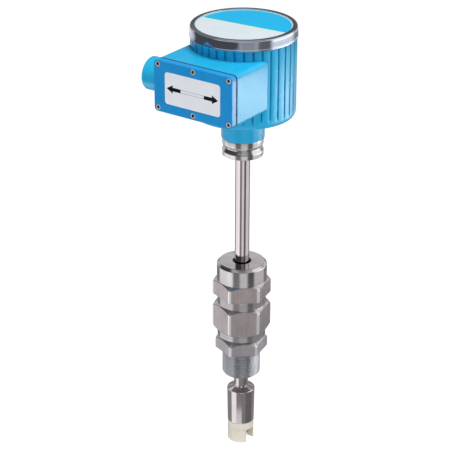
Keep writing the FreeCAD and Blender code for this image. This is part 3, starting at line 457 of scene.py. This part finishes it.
# The fluted wall stands between the fourth and the fifth corner
ramp = np.linspace(FLUTE_START, FLUTE_START + FLUTE_RAMP, 7)
level = np.r_[ramp, np.linspace(FLUTE_FULL, FLUTE_END, 7)][:, None]
deepening = eased(np.clip((level - FLUTE_START) / FLUTE_RAMP, 0, 1))
wall = np.stack([POT_RADIUS - fall * deepening, level + 0 * flute_angles], -1)
loop = np.concatenate([loop[:4 * POT_STEPS], wall, loop[4 * POT_STEPS:]])
pot = skin("head_housing_pot", around(loop, flute_angles))
show(pot, "meter", "housing_blue", housing_blue, "head_housing")

# Head housing, terminal box: a rectangular box moulded in one with the front of the pot, open towards the
# cover. Its walls end in the pot's wall, and its left wall is pierced for the cable.
BOX_SIZE, BOX_CORNER, BOX_MIDDLE = (109.6, 62.7), 5.0, 370.55
BOX_FRONT, BOX_WALL, WALL_MIDDLE = -91.0, 4.3, 59.2
BOSS_SETBACK, PIERCED = -70.5, 13.0


def outline(size, corner, stations):
    """Closed rounded rectangle in (x, z) with its outward normals: four straight sides at the given
    stations, as shares of the half side, and quarter circles between them."""
    half = np.array(size) / 2 - corner
    points, normals = [], []
    for side in range(4):
        turn = np.radians(90 * side)
        facing = np.array([np.cos(turn), np.sin(turn)])
        along = np.array([-facing[1], facing[0]])
        reach, run = half[::-1] if side % 2 else half
        place = np.asarray(stations[side % 2], float)
        arc = turn + np.radians(np.linspace(0, 90, 8))
        bent = np.stack([np.cos(arc), np.sin(arc)], -1)
        points.append(facing * (reach + corner) + along * (run * place)[:, None])
        points.append(facing * reach + along * run + corner * bent)
        normals += [np.tile(facing, (len(place), 1)), bent]
    return np.concatenate(points), np.concatenate(normals)


def stood_up(sides, depth):
    """Points of an outline in (x, z) about the box's middle, at a depth along y."""
    return np.stack([sides[..., 0], depth + 0 * sides[..., 0], BOX_MIDDLE + sides[..., 1]], -1)


def in_window(middle):
    """True for points in the left wall of the box that lie in the square round the boss's axis."""
    aside = np.abs(middle[:, 1:] - (BOSS_SETBACK, BOX_MIDDLE)).max(1)
    return (middle[:, 0] < 1 - BOX_SIZE[0] / 2 + BOX_WALL) & (aside < PIERCED)


pierced = PIERCED / (BOX_SIZE[1] / 2 - BOX_CORNER)
upright_stations = (-0.75, -pierced, pierced, 0.75)
edge, normal = outline(BOX_SIZE, BOX_CORNER, (upright_stations, np.linspace(-0.95, 0.95, 25)))
rear = -np.sqrt(WALL_MIDDLE**2 - edge[:, 0] ** 2)
loop = profile([
    (0.0, rear, 0.05), (0.0, BOX_FRONT, 1.1), (BOX_WALL, BOX_FRONT, 0.5), (BOX_WALL, rear, 0.05)
], rear)
# Rows at the window's front and rear stand on the outer and the inner wall
station = np.minimum(rear, np.array([BOSS_SETBACK + PIERCED, BOSS_SETBACK - PIERCED])[:, None])
outside, inside = (np.stack([0 * station + inset, station], -1) for inset in (0.0, BOX_WALL))
loop = np.concatenate([
    loop[:CORNER_STEPS], outside, loop[CORNER_STEPS:3 * CORNER_STEPS], inside[::-1], loop[3 * CORNER_STEPS:]
])
box = skin(
    "head_housing_box", stood_up(edge - loop[..., :1] * normal, loop[..., 1]),
    window=in_window, mend=bmesh.ops.bridge_loops,
)
show(box, "meter", "housing_blue", housing_blue, "head_housing")

# Head housing, cable boss: a round boss moulded on the left wall of the box, with an M25 thread for a cable
# gland cut in its bore.
BOSS_RADIUS, BOSS_END, BOSS_ROOT = 20.0, -81.8, -50.2
ENTRY_RADIUS, ENTRY_PITCH, ENTRY_DEPTH = 11.7, 1.5, 0.75

loop = profile([
    (BOSS_RADIUS, BOSS_END, 0.9),
    (BOSS_RADIUS, BOSS_ROOT, 0.2),
    (ENTRY_RADIUS, BOSS_ROOT, 0.3),
    (ENTRY_RADIUS, BOSS_END, 1.0),
], ring_angles)
# The thread stands between the third and the fourth corner
level = np.arange(BOSS_ROOT - 1, BOSS_END + 1.6, -ENTRY_PITCH / 8)[:, None]
bore = ENTRY_RADIUS + ENTRY_DEPTH * (1 - thread_fall(level, ENTRY_PITCH, ring_angles))
bore = np.stack([bore, level + 0 * ring_angles], -1)
loop = np.concatenate([loop[:3 * CORNER_STEPS], bore, loop[3 * CORNER_STEPS:]])
upright = around(loop, ring_angles)
lying = np.stack([upright[..., 2], BOSS_SETBACK + upright[..., 0], BOX_MIDDLE + upright[..., 1]], -1)
boss = skin("head_housing_boss", lying)
show(boss, "meter", "housing_blue", housing_blue, "head_housing")

# Dial plate: round plastic plate that closes the pot, printed blue and off-white either side of a straight
# chord, with a thin pale green line on the chord and a pale edge. A rubber ring seals it from below.
DIAL_RADIUS, DIAL_BASE, DIAL_TOP = 59.7, 424.4, 425.9
CHORD_NORMAL = (-0.08, 0.997, 0.0)
GREEN_INK, BLUE_INK, EDGE_INK = (0.50, 0.72, 0.38), (0.013, 0.375, 0.65), (0.50, 0.62, 0.54)
# Where each ink starts and where it is full, in metres from the chord and, for the edge, from the middle
GREEN_FROM, BLUE_FROM, EDGE_FROM = (-0.0022, -0.0016), (0.0, 0.0005), (0.0556, 0.0562)
POLE = 1e-4


def band(tree, value, start, end):
    """Nought before start, one after end, and a straight rise between."""
    return put(tree, "MapRange", {"Value": value, "From Min": start, "From Max": end}).outputs[0]


def overprint(material, *inks):
    """Lays colours over a finish's own tone one after the other, each where its mask is one."""
    tree = material.node_tree
    tone = tree.nodes["tone"].outputs[2]
    for colour, mask in inks:
        tone = mixed(tree, "RGBA", mask, tone, colour + (1.0,))
    tree.links.new(tone, tree.nodes["Principled BSDF"].inputs["Base Color"])


dial_print = finish(
    "dial_print", (0.535, 0.600, 0.625), (0.565, 0.63, 0.655), (0.20, 0.24), 50, 1500, 2e-6,
    Specular_IOR_Level=0.15,
)
tree = dial_print.node_tree
place = put(tree, "TexCoord", {}).outputs["Object"]
chord = put(tree, "VectorMath", {0: place, 1: CHORD_NORMAL}, operation="DOT_PRODUCT").outputs["Value"]
level_place = put(tree, "VectorMath", {0: place, 1: (1.0, 1.0, 0.0)}, operation="MULTIPLY").outputs[0]
radius = put(tree, "VectorMath", {0: level_place}, operation="LENGTH").outputs["Value"]
overprint(
    dial_print,
    (GREEN_INK, band(tree, chord, *GREEN_FROM)),
    (BLUE_INK, band(tree, chord, *BLUE_FROM)),
    (EDGE_INK, band(tree, radius, *EDGE_FROM)),
)
dial = skin("dial_plate_printed", around(profile([
    (POLE, DIAL_BASE, 0.0),
    (DIAL_RADIUS, DIAL_BASE, 0.3),
    (DIAL_RADIUS, DIAL_TOP, 0.3),
    (POLE, DIAL_TOP, 0.0),
], ring_angles), ring_angles), rows_close=False)
show(dial, "meter", "dial_print", dial_print, "dial_plate")

# Bezel: spun and chromed brass ring pressed over the pot's rim. A low flange stands under its barrel, the
# shoulder is round, and a narrow lip holds the dial plate down.
BEZEL_BASE, BEZEL_TOP, SHOULDER = 414.3, 427.5, 4.6
FLANGE_RADIUS, FLANGE_TOP = 64.0, BEZEL_BASE + 1.3
BARREL_RADIUS, BARREL_BASE, WINDOW_RADIUS = 63.5, BEZEL_BASE + 2.4, 57.2

bezel_chrome = steel("bezel_chrome", (0.57, 0.63, 0.76), (0.66, 0.71, 0.82), (0.06, 0.12), 2e-6, wave=6e-5)
bezel_angles = np.radians(np.arange(0, 360, 2.0))
rim_fit = RIM_RADIUS + CLEARANCE
bezel = skin("bezel_ring_chromed", around(profile([
    (rim_fit, BEZEL_BASE, 0.3),
    (FLANGE_RADIUS, BEZEL_BASE, 0.8),
    (FLANGE_RADIUS, FLANGE_TOP, 0.4),
    (BARREL_RADIUS, BARREL_BASE, 0.4),
    (BARREL_RADIUS, BEZEL_TOP, SHOULDER),
    (WINDOW_RADIUS, BEZEL_TOP, 0.7),
    (WINDOW_RADIUS, DIAL_TOP, 0.2),
    (rim_fit, DIAL_TOP, 0.2),
], bezel_angles, 9), bezel_angles))
show(bezel, "meter", "bezel_chrome", bezel_chrome, "bezel_ring")

# Terminal gasket: black rubber frame squeezed between the box and its cover, so that it swells into the
# groove between their rounded edges and shows as a dark line.
COVER_BACK = -92.2

edge, normal = outline(BOX_SIZE, BOX_CORNER, ((-0.5, 0, 0.5), (-0.5, 0, 0.5)))
# A row is an inset from the outline and a depth
rows = np.array([
    (BOX_WALL, BOX_FRONT),
    (1.0, BOX_FRONT),
    (0.3, BOX_FRONT + 0.65),
    (0.12, (BOX_FRONT + COVER_BACK) / 2),
    (0.3, COVER_BACK - 0.65),
    (1.0, COVER_BACK),
    (BOX_WALL, COVER_BACK),
])
gasket = skin("terminal_gasket_squeezed", stood_up(edge - rows[:, None, :1] * normal, rows[:, 1:]))
show(gasket, "meter", "black_rubber", black_rubber, "terminal_gasket")

# Terminal cover: blue moulded plate over the box, hollow behind, with a rounded front edge and a round
# recess for each of its six screws. Its blue is the housing's blue made darker, as painted shade on the
# front-facing cover.
COVER_FRONT, COVER_ROUND, COVER_RIM, HOLLOW_DEPTH = -101.3, 1.0, 9.5, 4.6
SCREW_ACROSS, SCREW_UP, SCREW_SEAT, SCREW_RECESS = 49.5, 26.35, -97.0, 3.9

# Painted shade: the housing's blue made darker for the cover
cover_blue_painted_shade = finish(
    "cover_blue_painted_shade", (0.008, 0.262, 0.615), (0.011, 0.287, 0.655), (0.22, 0.28), 60, 900, 5e-6, IOR=1.5
)
quarter = np.radians(np.linspace(0, 90, 7))
front_edge = COVER_ROUND * (1 - np.stack([np.cos(quarter), np.sin(quarter)], -1)) + (0.0, COVER_FRONT)
rows = np.concatenate([[
    (COVER_RIM, COVER_BACK - HOLLOW_DEPTH),
    (COVER_RIM, COVER_BACK),
    (1.1, COVER_BACK),
    (0.35, COVER_BACK - 0.35),
    (0.0, COVER_BACK - 1.1),
], front_edge])
# Past a corner's own radius the inset outline is held at the corner's middle
bent = np.abs(normal).min(1) > 0.01
inset = np.where(bent, np.minimum(rows[:, :1], BOX_CORNER), rows[:, :1])
rim = edge - inset[..., None] * normal
plate = stood_up(np.concatenate([0 * rim[:1], rim]), np.r_[rows[:1, 1], rows[:, 1]][:, None])
places = np.array([(x, z) for x in (-SCREW_ACROSS, 0.0, SCREW_ACROSS) for z in (-SCREW_UP, SCREW_UP)])


def at_screws(turned, depth):
    """A round shape laid down to face the cover's front, at each of the six screws' places."""
    x, z = np.moveaxis(places[:, None, None] + turned[..., :2], -1, 0)
    return np.stack([x, depth + 0 * x, BOX_MIDDLE + z], -1)


def fill_flat(shell, edges):
    """Flat faces between the open edges of a shell that lie in one plane, with the inner loops left free."""
    bmesh.ops.triangle_fill(shell, use_beauty=True, edges=edges)


cup = around(np.array([
    (SCREW_RECESS, COVER_FRONT),
    (SCREW_RECESS, SCREW_SEAT + 0.4),
    (SCREW_RECESS - 0.4, SCREW_SEAT),
    (POLE, SCREW_SEAT),
])[:, None], np.radians(np.arange(0, 360, 7.5)))
cups = at_screws(cup, cup[..., 2])
cover = skin("terminal_cover_moulded", plate, cups, rows_close=False, mend=fill_flat)
show(cover, "meter", "housing_blue", cover_blue_painted_shade, "terminal_cover")

# Cover screws: six bright zinc-plated socket screws, domed at the edge of the head. Their sockets and the
# sides of their heads down in the gap round each head are painted dark, as painted shade.
SHANK_RADIUS, SHANK_END, HEAD_RADIUS, HEAD_HEIGHT = 1.95, -15.7, 3.6, 4.0
SOCKET_FLATS, SOCKET_FLOOR = 3.6, 1.6
# Dark colour painted in the sockets and round the heads, as painted shade, and where it starts and is full
SOCKET_SHADE, SOCKET_SHADE_START, SOCKET_SHADE_FULL = (0.03, 0.03, 0.032), 0.6, 1.4

screw_steel = finish(
    "screw_steel", (0.50, 0.50, 0.49), (0.68, 0.68, 0.66), (0.30, 0.42), 300, 2500, 5e-6, Metallic=0.25
)
tree = screw_steel.node_tree
setback = put(tree, "SeparateXYZ", {0: put(tree, "TexCoord", {}).outputs["Object"]}).outputs["Y"]
head_face = SCREW_SEAT - HEAD_HEIGHT
# Painted shade: dark from a little below each head's face inwards, in the socket and down the head's side
socket_shade_mask = band(tree, setback, (head_face + SOCKET_SHADE_START) * MM, (head_face + SOCKET_SHADE_FULL) * MM)
overprint(screw_steel, (SOCKET_SHADE, socket_shade_mask))
socket = hex_reach(SOCKET_FLATS, hex_angles)
screw = around(profile([
    (POLE, SHANK_END, 0.0),
    (SHANK_RADIUS, SHANK_END, 0.5),
    (SHANK_RADIUS, 0.0, 0.2),
    (HEAD_RADIUS, 0.0, 0.2),
    (HEAD_RADIUS, HEAD_HEIGHT, 0.9),
    (socket + 0.25, HEAD_HEIGHT, 0.15),
    (socket, HEAD_HEIGHT - 0.4, 0.15),
    (socket * 0.97, SOCKET_FLOOR + 0.2, 0.2),
    (POLE, SOCKET_FLOOR, 0.0),
], hex_angles), hex_angles)
screws = skin("terminal_cover_screws_turned", at_screws(screw, SCREW_SEAT - screw[..., 2]), rows_close=False)
show(screws, "meter", "screw_steel", screw_steel, "terminal_cover_screws")
axle_steel = finish(
    "axle_steel", (0.50, 0.50, 0.49), (0.65, 0.65, 0.63), (0.2, 0.3), 300, 2500, 3e-6, Metallic=1.0
)
dress(axle_steel, "board_screws", "impeller_axle")

# Flow direction label: off-white plastic plate stuck to the cover, printed with a black double arrow and a
# thin frame between its two shafts. The print's sizes are in metres.
LABEL_SIZE, LABEL_CORNER, LABEL_BACK, LABEL_FRONT = (77.6, 38.6), 4.0, -101.3, -101.7
ARROW_BACK, ARROW_TIP, ARROW_HALF = 0.0275, 0.0362, 0.0052
SHAFT_START, SHAFT_END, SHAFT_HALF = 0.0162, 0.0286, 0.0023
LINE_INNER, LINE_OUTER, CRISP = 0.0014, 0.0019, 0.0001
BLACK_INK, GREY_INK = (0.004, 0.004, 0.005), (0.16, 0.16, 0.17)

label_white = finish(
    "label_white", (0.76, 0.78, 0.83), (0.81, 0.83, 0.87), (0.35, 0.5), 60, 1800, 4e-6,
    Specular_IOR_Level=0.25,
)
tree = label_white.node_tree
parts = put(tree, "SeparateXYZ", {0: put(tree, "TexCoord", {}).outputs["Object"]}).outputs
across = reckoned(tree, "ABSOLUTE", parts["X"])
lift = reckoned(tree, "ABSOLUTE", reckoned(tree, "SUBTRACT", parts["Z"], BOX_MIDDLE * MM))


def between(tree, value, low, high):
    """One where the value lies from low to high, with a crisp edge inside each end."""
    above, below = band(tree, value, low, low + CRISP), band(tree, value, high, high - CRISP)
    return reckoned(tree, "MULTIPLY", above, below)


# Half height of an arrow's head falls in a straight line from its back to the tip
narrowing = {"From Min": ARROW_BACK, "From Max": ARROW_TIP, "To Min": ARROW_HALF, "To Max": 0.0}
head_half = put(tree, "MapRange", {"Value": across, **narrowing}).outputs[0]
within = band(tree, reckoned(tree, "SUBTRACT", head_half, lift), 0.0, CRISP)
head = reckoned(tree, "MULTIPLY", within, band(tree, across, ARROW_BACK, ARROW_BACK + CRISP))
slim = band(tree, lift, SHAFT_HALF, SHAFT_HALF - CRISP)
shaft = reckoned(tree, "MULTIPLY", slim, between(tree, across, SHAFT_START, SHAFT_END))
inner = band(tree, across, SHAFT_START + CRISP, SHAFT_START)
lines = reckoned(tree, "MULTIPLY", inner, between(tree, lift, LINE_INNER, LINE_OUTER))
overprint(label_white, (BLACK_INK, head), (BLACK_INK, shaft), (GREY_INK, lines))
edge, normal = outline(LABEL_SIZE, LABEL_CORNER, ((0.0,), (0.0,)))
rows = np.array([
    (0.1, LABEL_BACK),
    (0.0, LABEL_BACK - 0.1),
    (0.0, LABEL_FRONT + 0.12),
    (0.04, LABEL_FRONT + 0.03),
    (0.15, LABEL_FRONT),
])
rim = edge - rows[:, None, :1] * normal
rim = np.concatenate([0 * rim[:1], rim, 0 * rim[:1]])
depth = np.r_[LABEL_BACK, rows[:, 1], LABEL_FRONT][:, None]
label = skin("flow_direction_label_printed", stood_up(rim, depth), rows_close=False)
show(label, "meter", "label_white", label_white, "flow_direction_label")

# Electronics: green lacquered board screwed on the housing's posts with its plug below, and the grey moulded
# terminal strip in the box.
board_green = finish("board_green", (0.010, 0.09, 0.035), (0.02, 0.15, 0.06), (0.25, 0.4), 500, 2500, 1e-5)
terminal_grey = finish("terminal_grey", (0.22, 0.23, 0.24), (0.30, 0.31, 0.33), (0.4, 0.55), 120, 2500, 1e-5)
dress(board_green, "circuit_board")
dress(terminal_grey, "cable_plug", "terminal_block")

# Sensor body: polished steel turned to a slight taper, welded to the stem's lower end and hollow below for
# the potted pickup and the tip's neck.
SENSOR_BASE, SENSOR_RIM, SENSOR_SHOULDER = -106.4, -59.9, -57.4
SENSOR_LOWER, SENSOR_UPPER = 16.95, 17.7
CAVITY_RADIUS, CAVITY_TOP = 12.0, -86.4

sensor = skin("sensor_body_polished", around(profile([
    (CAVITY_RADIUS, SENSOR_BASE, 0.2),
    (SENSOR_LOWER, SENSOR_BASE, 0.3),
    (SENSOR_UPPER, SENSOR_RIM, 0.7),
    (stem_fit, SENSOR_SHOULDER, 0.3),
    (stem_fit, STEM_END, 0.3),
    (STEM_BORE, STEM_END, 0.3),
    (STEM_BORE, CAVITY_TOP, 0.3),
    (CAVITY_RADIUS, CAVITY_TOP, 0.3),
], ring_angles), ring_angles))
show(sensor, "meter", "polished_steel", polished_steel, "sensor_body")
potting_black = finish(
    "potting_black", (0.015, 0.015, 0.017), (0.035, 0.035, 0.038), (0.3, 0.5), 200, 2000, 2e-5
)
dress(potting_black, "pickup_coil")

# Impeller tip: machined ivory plastic. A neck sits in the sensor body, and below the full round two cheeks
# stand either side of the flow slot and carry the axle's bushes.
TIP_RADIUS, TIP_BASE, TIP_TOP, SLOT_TOP, SLOT_HALF = 16.85, -135.3, -106.4, -116.5, 8.03
TIP_NECK_RADIUS, TIP_NECK_TOP = CAVITY_RADIUS - CLEARANCE, -94.4
RING_RADIUS, RING_LOW, RING_HIGH = 10.35, -101.6, -99.2
CHEEK_MIDDLE, CHEEK_LAP = 12.0, 0.3

tip_ivory = finish(
    "tip_ivory", (0.77, 0.71, 0.60), (0.84, 0.78, 0.68), (0.28, 0.42), 90, 1600, 8e-6,
    Subsurface_Weight=0.7, Subsurface_Scale=0.006, Subsurface_Radius=(1.0, 0.9, 0.8),
)
tip_round = skin("impeller_housing_round", around(profile([
    (POLE, SLOT_TOP, 0.0),
    (TIP_RADIUS, SLOT_TOP, 0.05),
    (TIP_RADIUS, TIP_TOP, 0.3),
    (TIP_NECK_RADIUS, TIP_TOP, 0.2),
    (TIP_NECK_RADIUS, RING_LOW, 0.2),
    (RING_RADIUS, RING_LOW, 0.2),
    (RING_RADIUS, RING_HIGH, 0.2),
    (TIP_NECK_RADIUS, RING_HIGH, 0.2),
    (TIP_NECK_RADIUS, TIP_NECK_TOP, 0.4),
    (POLE, TIP_NECK_TOP, 0.0),
], ring_angles), ring_angles), rows_close=False)
show(tip_round, "meter", "tip_ivory", tip_ivory, "impeller_housing")

# A cheek's outline is the arc of a circle closed by the straight wall of the slot; the circle shrinks at the
# lower bevel while the wall stays
rows = np.array([
    (15.65, TIP_BASE),
    (15.85, TIP_BASE + 0.05),
    (16.0, TIP_BASE + 0.2),
    (16.65, TIP_BASE + 1.0),
    (16.8, TIP_BASE + 1.2),
    (TIP_RADIUS, TIP_BASE + 1.5),
    (TIP_RADIUS, SLOT_TOP + CHEEK_LAP),
])
half_turn = np.arccos(SLOT_HALF / rows[:, :1]) * np.linspace(-1, 1, 41)
arc = rows[:, None, :1] * np.stack([np.sin(half_turn), np.cos(half_turn)], -1)
slot_wall = arc[:, -1:] + (arc[:, :1] - arc[:, -1:]) * np.linspace(0, 1, 14)[1:-1, None]
ring = np.concatenate([arc, slot_wall], 1)
centre = 0 * ring[:1] + (0.0, CHEEK_MIDDLE)
ring = np.concatenate([centre, ring, centre])
height = np.r_[TIP_BASE, rows[:, 1], SLOT_TOP + CHEEK_LAP][:, None] + 0 * ring[..., 0]
for side, name in ((1.0, "impeller_housing_back"), (-1.0, "impeller_housing_front")):
    cheek = skin(name, np.stack([ring[..., 0], side * ring[..., 1], height], -1), rows_close=False)
    show(cheek, "meter", "tip_ivory", tip_ivory, "impeller_housing")

# Impeller: moulded ivory paddle wheel with curved blades on a hard steel axle in two grey bushes, with four
# small sintered magnets pressed into its hub. The wheel is painted a darker ivory than the tip, as painted
# shade inside the flow slot.
# Painted shade: the impeller's ivory is darker than the tip's
impeller_ivory = finish(
    "impeller_ivory", (0.50, 0.45, 0.34), (0.62, 0.57, 0.46), (0.35, 0.5), 200, 2000, 8e-6
)
bush_grey = finish("bush_grey", (0.06, 0.06, 0.065), (0.10, 0.10, 0.11), (0.35, 0.5), 400, 2500, 8e-6)
magnet_dark = finish(
    "magnet_dark", (0.04, 0.04, 0.045), (0.09, 0.09, 0.1), (0.35, 0.5), 500, 3000, 1e-5, Metallic=1.0
)
dress(impeller_ivory, "impeller")
dress(bush_grey, "axle_bushes")
dress(magnet_dark, "impeller_magnets")

# Stage: a plain pale floor just under the lowest place that the tip reaches, soft lamps, and a round wall of
# light strips and dark flags that only reflections see.
STEM_TRAVEL = 140.0
FLOOR_LEVEL, FLOOR_HALF = (TIP_BASE - STEM_TRAVEL - 0.3) * MM, 8.0
WHITE = (1.0, 1.0, 1.0, 1.0)
AMBIENT, FLOOR_BOUNCE, FLOOR_PALE, FLOOR_GLOW = (0.215, 0.225, 0.245, 1.0), 0.8, 0.4, 0.88


def seen_directly(tree):
    """One for rays from the camera, from a glossy surface or through glass, and nought for other light."""
    path = put(tree, "LightPath", {}).outputs
    direct = reckoned(tree, "MAXIMUM", path["Is Camera Ray"], path["Is Glossy Ray"])
    return reckoned(tree, "MAXIMUM", direct, path["Is Transmission Ray"])


def bare_tree(owner):
    """The emptied node tree of a world or of a stage material."""
    owner.use_nodes = True
    owner.node_tree.nodes.clear()
    return owner.node_tree


def stage_panel(name, points, material):
    """Stage surface with quads between neighbouring points of an open grid (rows, columns, 3) in metres."""
    number = np.arange(points[..., 0].size).reshape(points.shape[:2])
    quads = np.stack([number[:-1, :-1], number[:-1, 1:], number[1:, 1:], number[1:, :-1]], -1).reshape(-1, 4)
    mesh = bpy.data.meshes.new(name)
    mesh.from_pydata(points.reshape(-1, 3).tolist(), [], quads.tolist())
    mesh.materials.append(material)
    panel = bpy.data.objects.new(name, mesh)
    bpy.context.scene.collection.objects.link(panel)
    return panel


world = bpy.data.worlds.new("studio")
bpy.context.scene.world = world
tree = bare_tree(world)
ambient = put(tree, "Background", {"Color": AMBIENT}).outputs[0]
backdrop = put(tree, "Background", {"Color": WHITE}).outputs[0]
both = put(tree, "MixShader", {0: seen_directly(tree), 1: ambient, 2: backdrop})
put(tree, "OutputWorld", {"Surface": both.outputs[0]})

floor_white = bpy.data.materials.new("floor_white")
tree = bare_tree(floor_white)
bounce = put(tree, "BsdfDiffuse", {"Color": (FLOOR_BOUNCE,) * 3 + (1.0,)}).outputs[0]
pale = put(tree, "BsdfDiffuse", {"Color": (FLOOR_PALE,) * 3 + (1.0,)}).outputs[0]
glowing = put(tree, "Emission", {"Color": WHITE, "Strength": FLOOR_GLOW}).outputs[0]
lit = put(tree, "AddShader", {0: pale, 1: glowing}).outputs[0]
both = put(tree, "MixShader", {0: seen_directly(tree), 1: bounce, 2: lit})
put(tree, "OutputMaterial", {"Surface": both.outputs[0]})
across = np.linspace(-FLOOR_HALF, FLOOR_HALF, 3)
ground = np.stack(np.broadcast_arrays(across, across[:, None], FLOOR_LEVEL), -1)
floor = stage_panel("floor", ground, floor_white)
floor.visible_glossy = False

# Strips and flags of the wall, each over those before it: first and last angle to the right of the camera in
# degrees, lowest and highest level in metres, and brightness
VIEW_TURN = -55.33
CARDS = (
    # The ground all round, and the back of the studio, which flat tops reflect
    (-180, 180, -1.20, -0.40, 0.30),
    (116, 240, -0.26, 0.10, 0.31),
    (130, 230, 0.10, 0.42, 0.80),
    (130, 230, 0.42, 0.95, 0.12),
    # Strips and flags at the height that the stem, the collar and the nut reflect
    (-118, -72, -0.10, 0.135, 1.25),
    (-72, -40, -0.10, 0.135, 1.40),
    (-38, -9, -0.10, 0.135, 0.28),
    (-7, 24, -0.10, 0.135, 0.94),
    (27, 56, -0.10, 0.56, 0.15),
    (58, 116, -0.10, 0.95, 0.90),
    (58, 116, 0.33, 0.56, 1.40),
    # The same strips lower down, for the gland body and the nipple
    (-118, -72, -0.26, -0.10, 0.95),
    (-72, -40, -0.26, -0.10, 1.00),
    (-38, -9, -0.26, -0.10, 0.38),
    (-7, 24, -0.26, -0.10, 0.56),
    (27, 56, -0.26, -0.10, 0.25),
    (58, 116, -0.26, -0.10, 0.40),
    # Dark flags and a light band high up, for the bezel and for bevels that face upwards
    (-118, -8, 0.135, 0.55, 0.08),
    (-6, 24, 0.135, 0.55, 0.35),
    (-180, -60, 0.56, 0.95, 0.20),
    (-60, 56, 0.56, 0.70, 0.70),
    (-60, 56, 0.70, 0.95, 0.12),
    # A strong light on the right, for the sheen of the plastic head, with flags behind it
    (58, 86, 0.145, 0.25, 3.20),
    (86, 118, 0.135, 0.25, 4.50),
    (118, 150, 0.145, 0.25, 0.90),
    (72, 102, 0.205, 0.25, 7.50),
    (150, 210, 0.12, 0.25, 0.30),
    (126, 158, 0.256, 0.33, 0.25),
    # Strips near the ground, for the sensor body
    (-180, 180, -0.40, -0.264, 0.32),
    (-36, 40, -0.40, -0.264, 0.28),
    (40, 105, -0.40, -0.264, 0.18),
    (-40, 8, -0.40, -0.336, 0.90),
    (-84, -38, -0.40, -0.264, 1.25),
)
WALL_GLOW, WALL_RADIUS, WALL_LOW, WALL_HIGH = 0.60, 0.40, -1.20, 0.95
SOFT_TURN, SOFT_RISE = 9.0, 0.010
LID_MIDDLE, LID_FALL = 0.9, 0.75

turn = np.linspace(-180, 180, 181)
rise = np.linspace(WALL_LOW, WALL_HIGH, 431)[:, None]
glow = WALL_GLOW + 0 * rise * turn
for first, last, low, high, bright in CARDS:
    beside = np.abs((turn - (first + last) / 2 + 180) % 360 - 180) - (last - first) / 2
    past = np.abs(rise - (low + high) / 2) - (high - low) / 2
    overlay = np.clip(0.5 - beside / SOFT_TURN, 0, 1) * np.clip(0.5 - past / SOFT_RISE, 0, 1)
    glow += overlay * (bright - glow)
bearing = np.radians(VIEW_TURN + turn)
round_bearing = np.cos(bearing), np.sin(bearing)
wall = np.stack(np.broadcast_arrays(*(WALL_RADIUS * way for way in round_bearing), rise), -1)
inward = np.linspace(WALL_RADIUS, 0.0, 5)[:, None]
lid = np.stack(np.broadcast_arrays(*(inward * way for way in round_bearing), WALL_HIGH), -1)
lid_glow = LID_MIDDLE - LID_FALL * inward / WALL_RADIUS + 0 * turn

card_light = bpy.data.materials.new("card_light")
tree = bare_tree(card_light)
card_light.cycles.emission_sampling = "NONE"
strength = put(tree, "Attribute", {}, attribute_name="glow").outputs["Fac"]
shine = put(tree, "Emission", {"Color": WHITE, "Strength": strength})
put(tree, "OutputMaterial", {"Surface": shine.outputs[0]})
for name, place, bright in (("reflection_wall", wall, glow), ("reflection_lid", lid, lid_glow)):
    screen = stage_panel(name, place, card_light)
    mark = screen.data.attributes.new("glow", "FLOAT", "POINT")
    mark.data.foreach_set("value", bright.ravel().astype(np.float32))
    screen.visible_camera = False
    screen.visible_diffuse = False
    screen.visible_shadow = False
    screen.visible_transmission = False


def aimed(forward, up, place):
    """Matrix of an object at a place that looks along forward, with up as its upward side: its columns are
    the right side, which is forward cross up, the upward side, the reverse of forward, and the place."""
    matrix = np.eye(4)
    matrix[:3] = np.stack([np.cross(forward, up), up, -forward, place], 1)
    return Matrix(matrix.tolist())


# Lamps as (name, place, aim, width, power)
LAMPS = (
    ("lamp_key", (0.30, -0.05, 1.75), (0.0, 0.0, 0.3), 0.9, 25.5),
    ("lamp_rim", (1.1, 0.35, 0.45), (0.0, 0.0, 0.33), 0.8, 5.0),
    ("lamp_fill", (0.05, -1.5, 0.05), (0.0, 0.0, 0.25), 0.4, 9.2),
)
for name, place, aim, width, power in LAMPS:
    lamp = bpy.data.lights.new(name, "AREA")
    lamp.size = width
    lamp.energy = power
    holder = bpy.data.objects.new(name, lamp)
    bpy.context.scene.collection.objects.link(holder)
    forward = np.subtract(aim, place) / np.linalg.norm(np.subtract(aim, place))
    right = np.cross(forward, (0.0, 0.0, 1.0))
    holder.matrix_world = aimed(forward, np.cross(right / np.linalg.norm(right), forward), place)
    holder.visible_camera = False
    holder.visible_glossy = False

# Camera: at the photograph's place, found by fitting the object's edges, for a square picture. It is turned
# about the upright, then pitched down, then rolled.
CAMERA_PLACE = (1.05706, -1.52825, 1.03953)
CAMERA_TURN, CAMERA_PITCH, CAMERA_ROLL = np.radians((35.323, 25.108, 0.184))
FOCAL_LENGTH, SENSOR_WIDTH = 133.693, 36.0

ahead = np.array([-np.sin(CAMERA_TURN), np.cos(CAMERA_TURN), 0.0])
right = np.array([ahead[1], -ahead[0], 0.0])
forward = ahead * np.cos(CAMERA_PITCH) - np.array([0.0, 0.0, np.sin(CAMERA_PITCH)])
up = np.cos(CAMERA_ROLL) * np.cross(right, forward) - np.sin(CAMERA_ROLL) * right
lens = bpy.data.cameras.new("camera")
lens.lens, lens.sensor_width = FOCAL_LENGTH, SENSOR_WIDTH
lens.clip_start, lens.clip_end = 0.05, 50.0
camera = bpy.data.objects.new("camera", lens)
bpy.context.scene.collection.objects.link(camera)
camera.matrix_world = aimed(forward, up, CAMERA_PLACE)
bpy.context.scene.camera = camera
bpy.context.scene.view_settings.view_transform = "Standard"

bpy.context.view_layer.update()
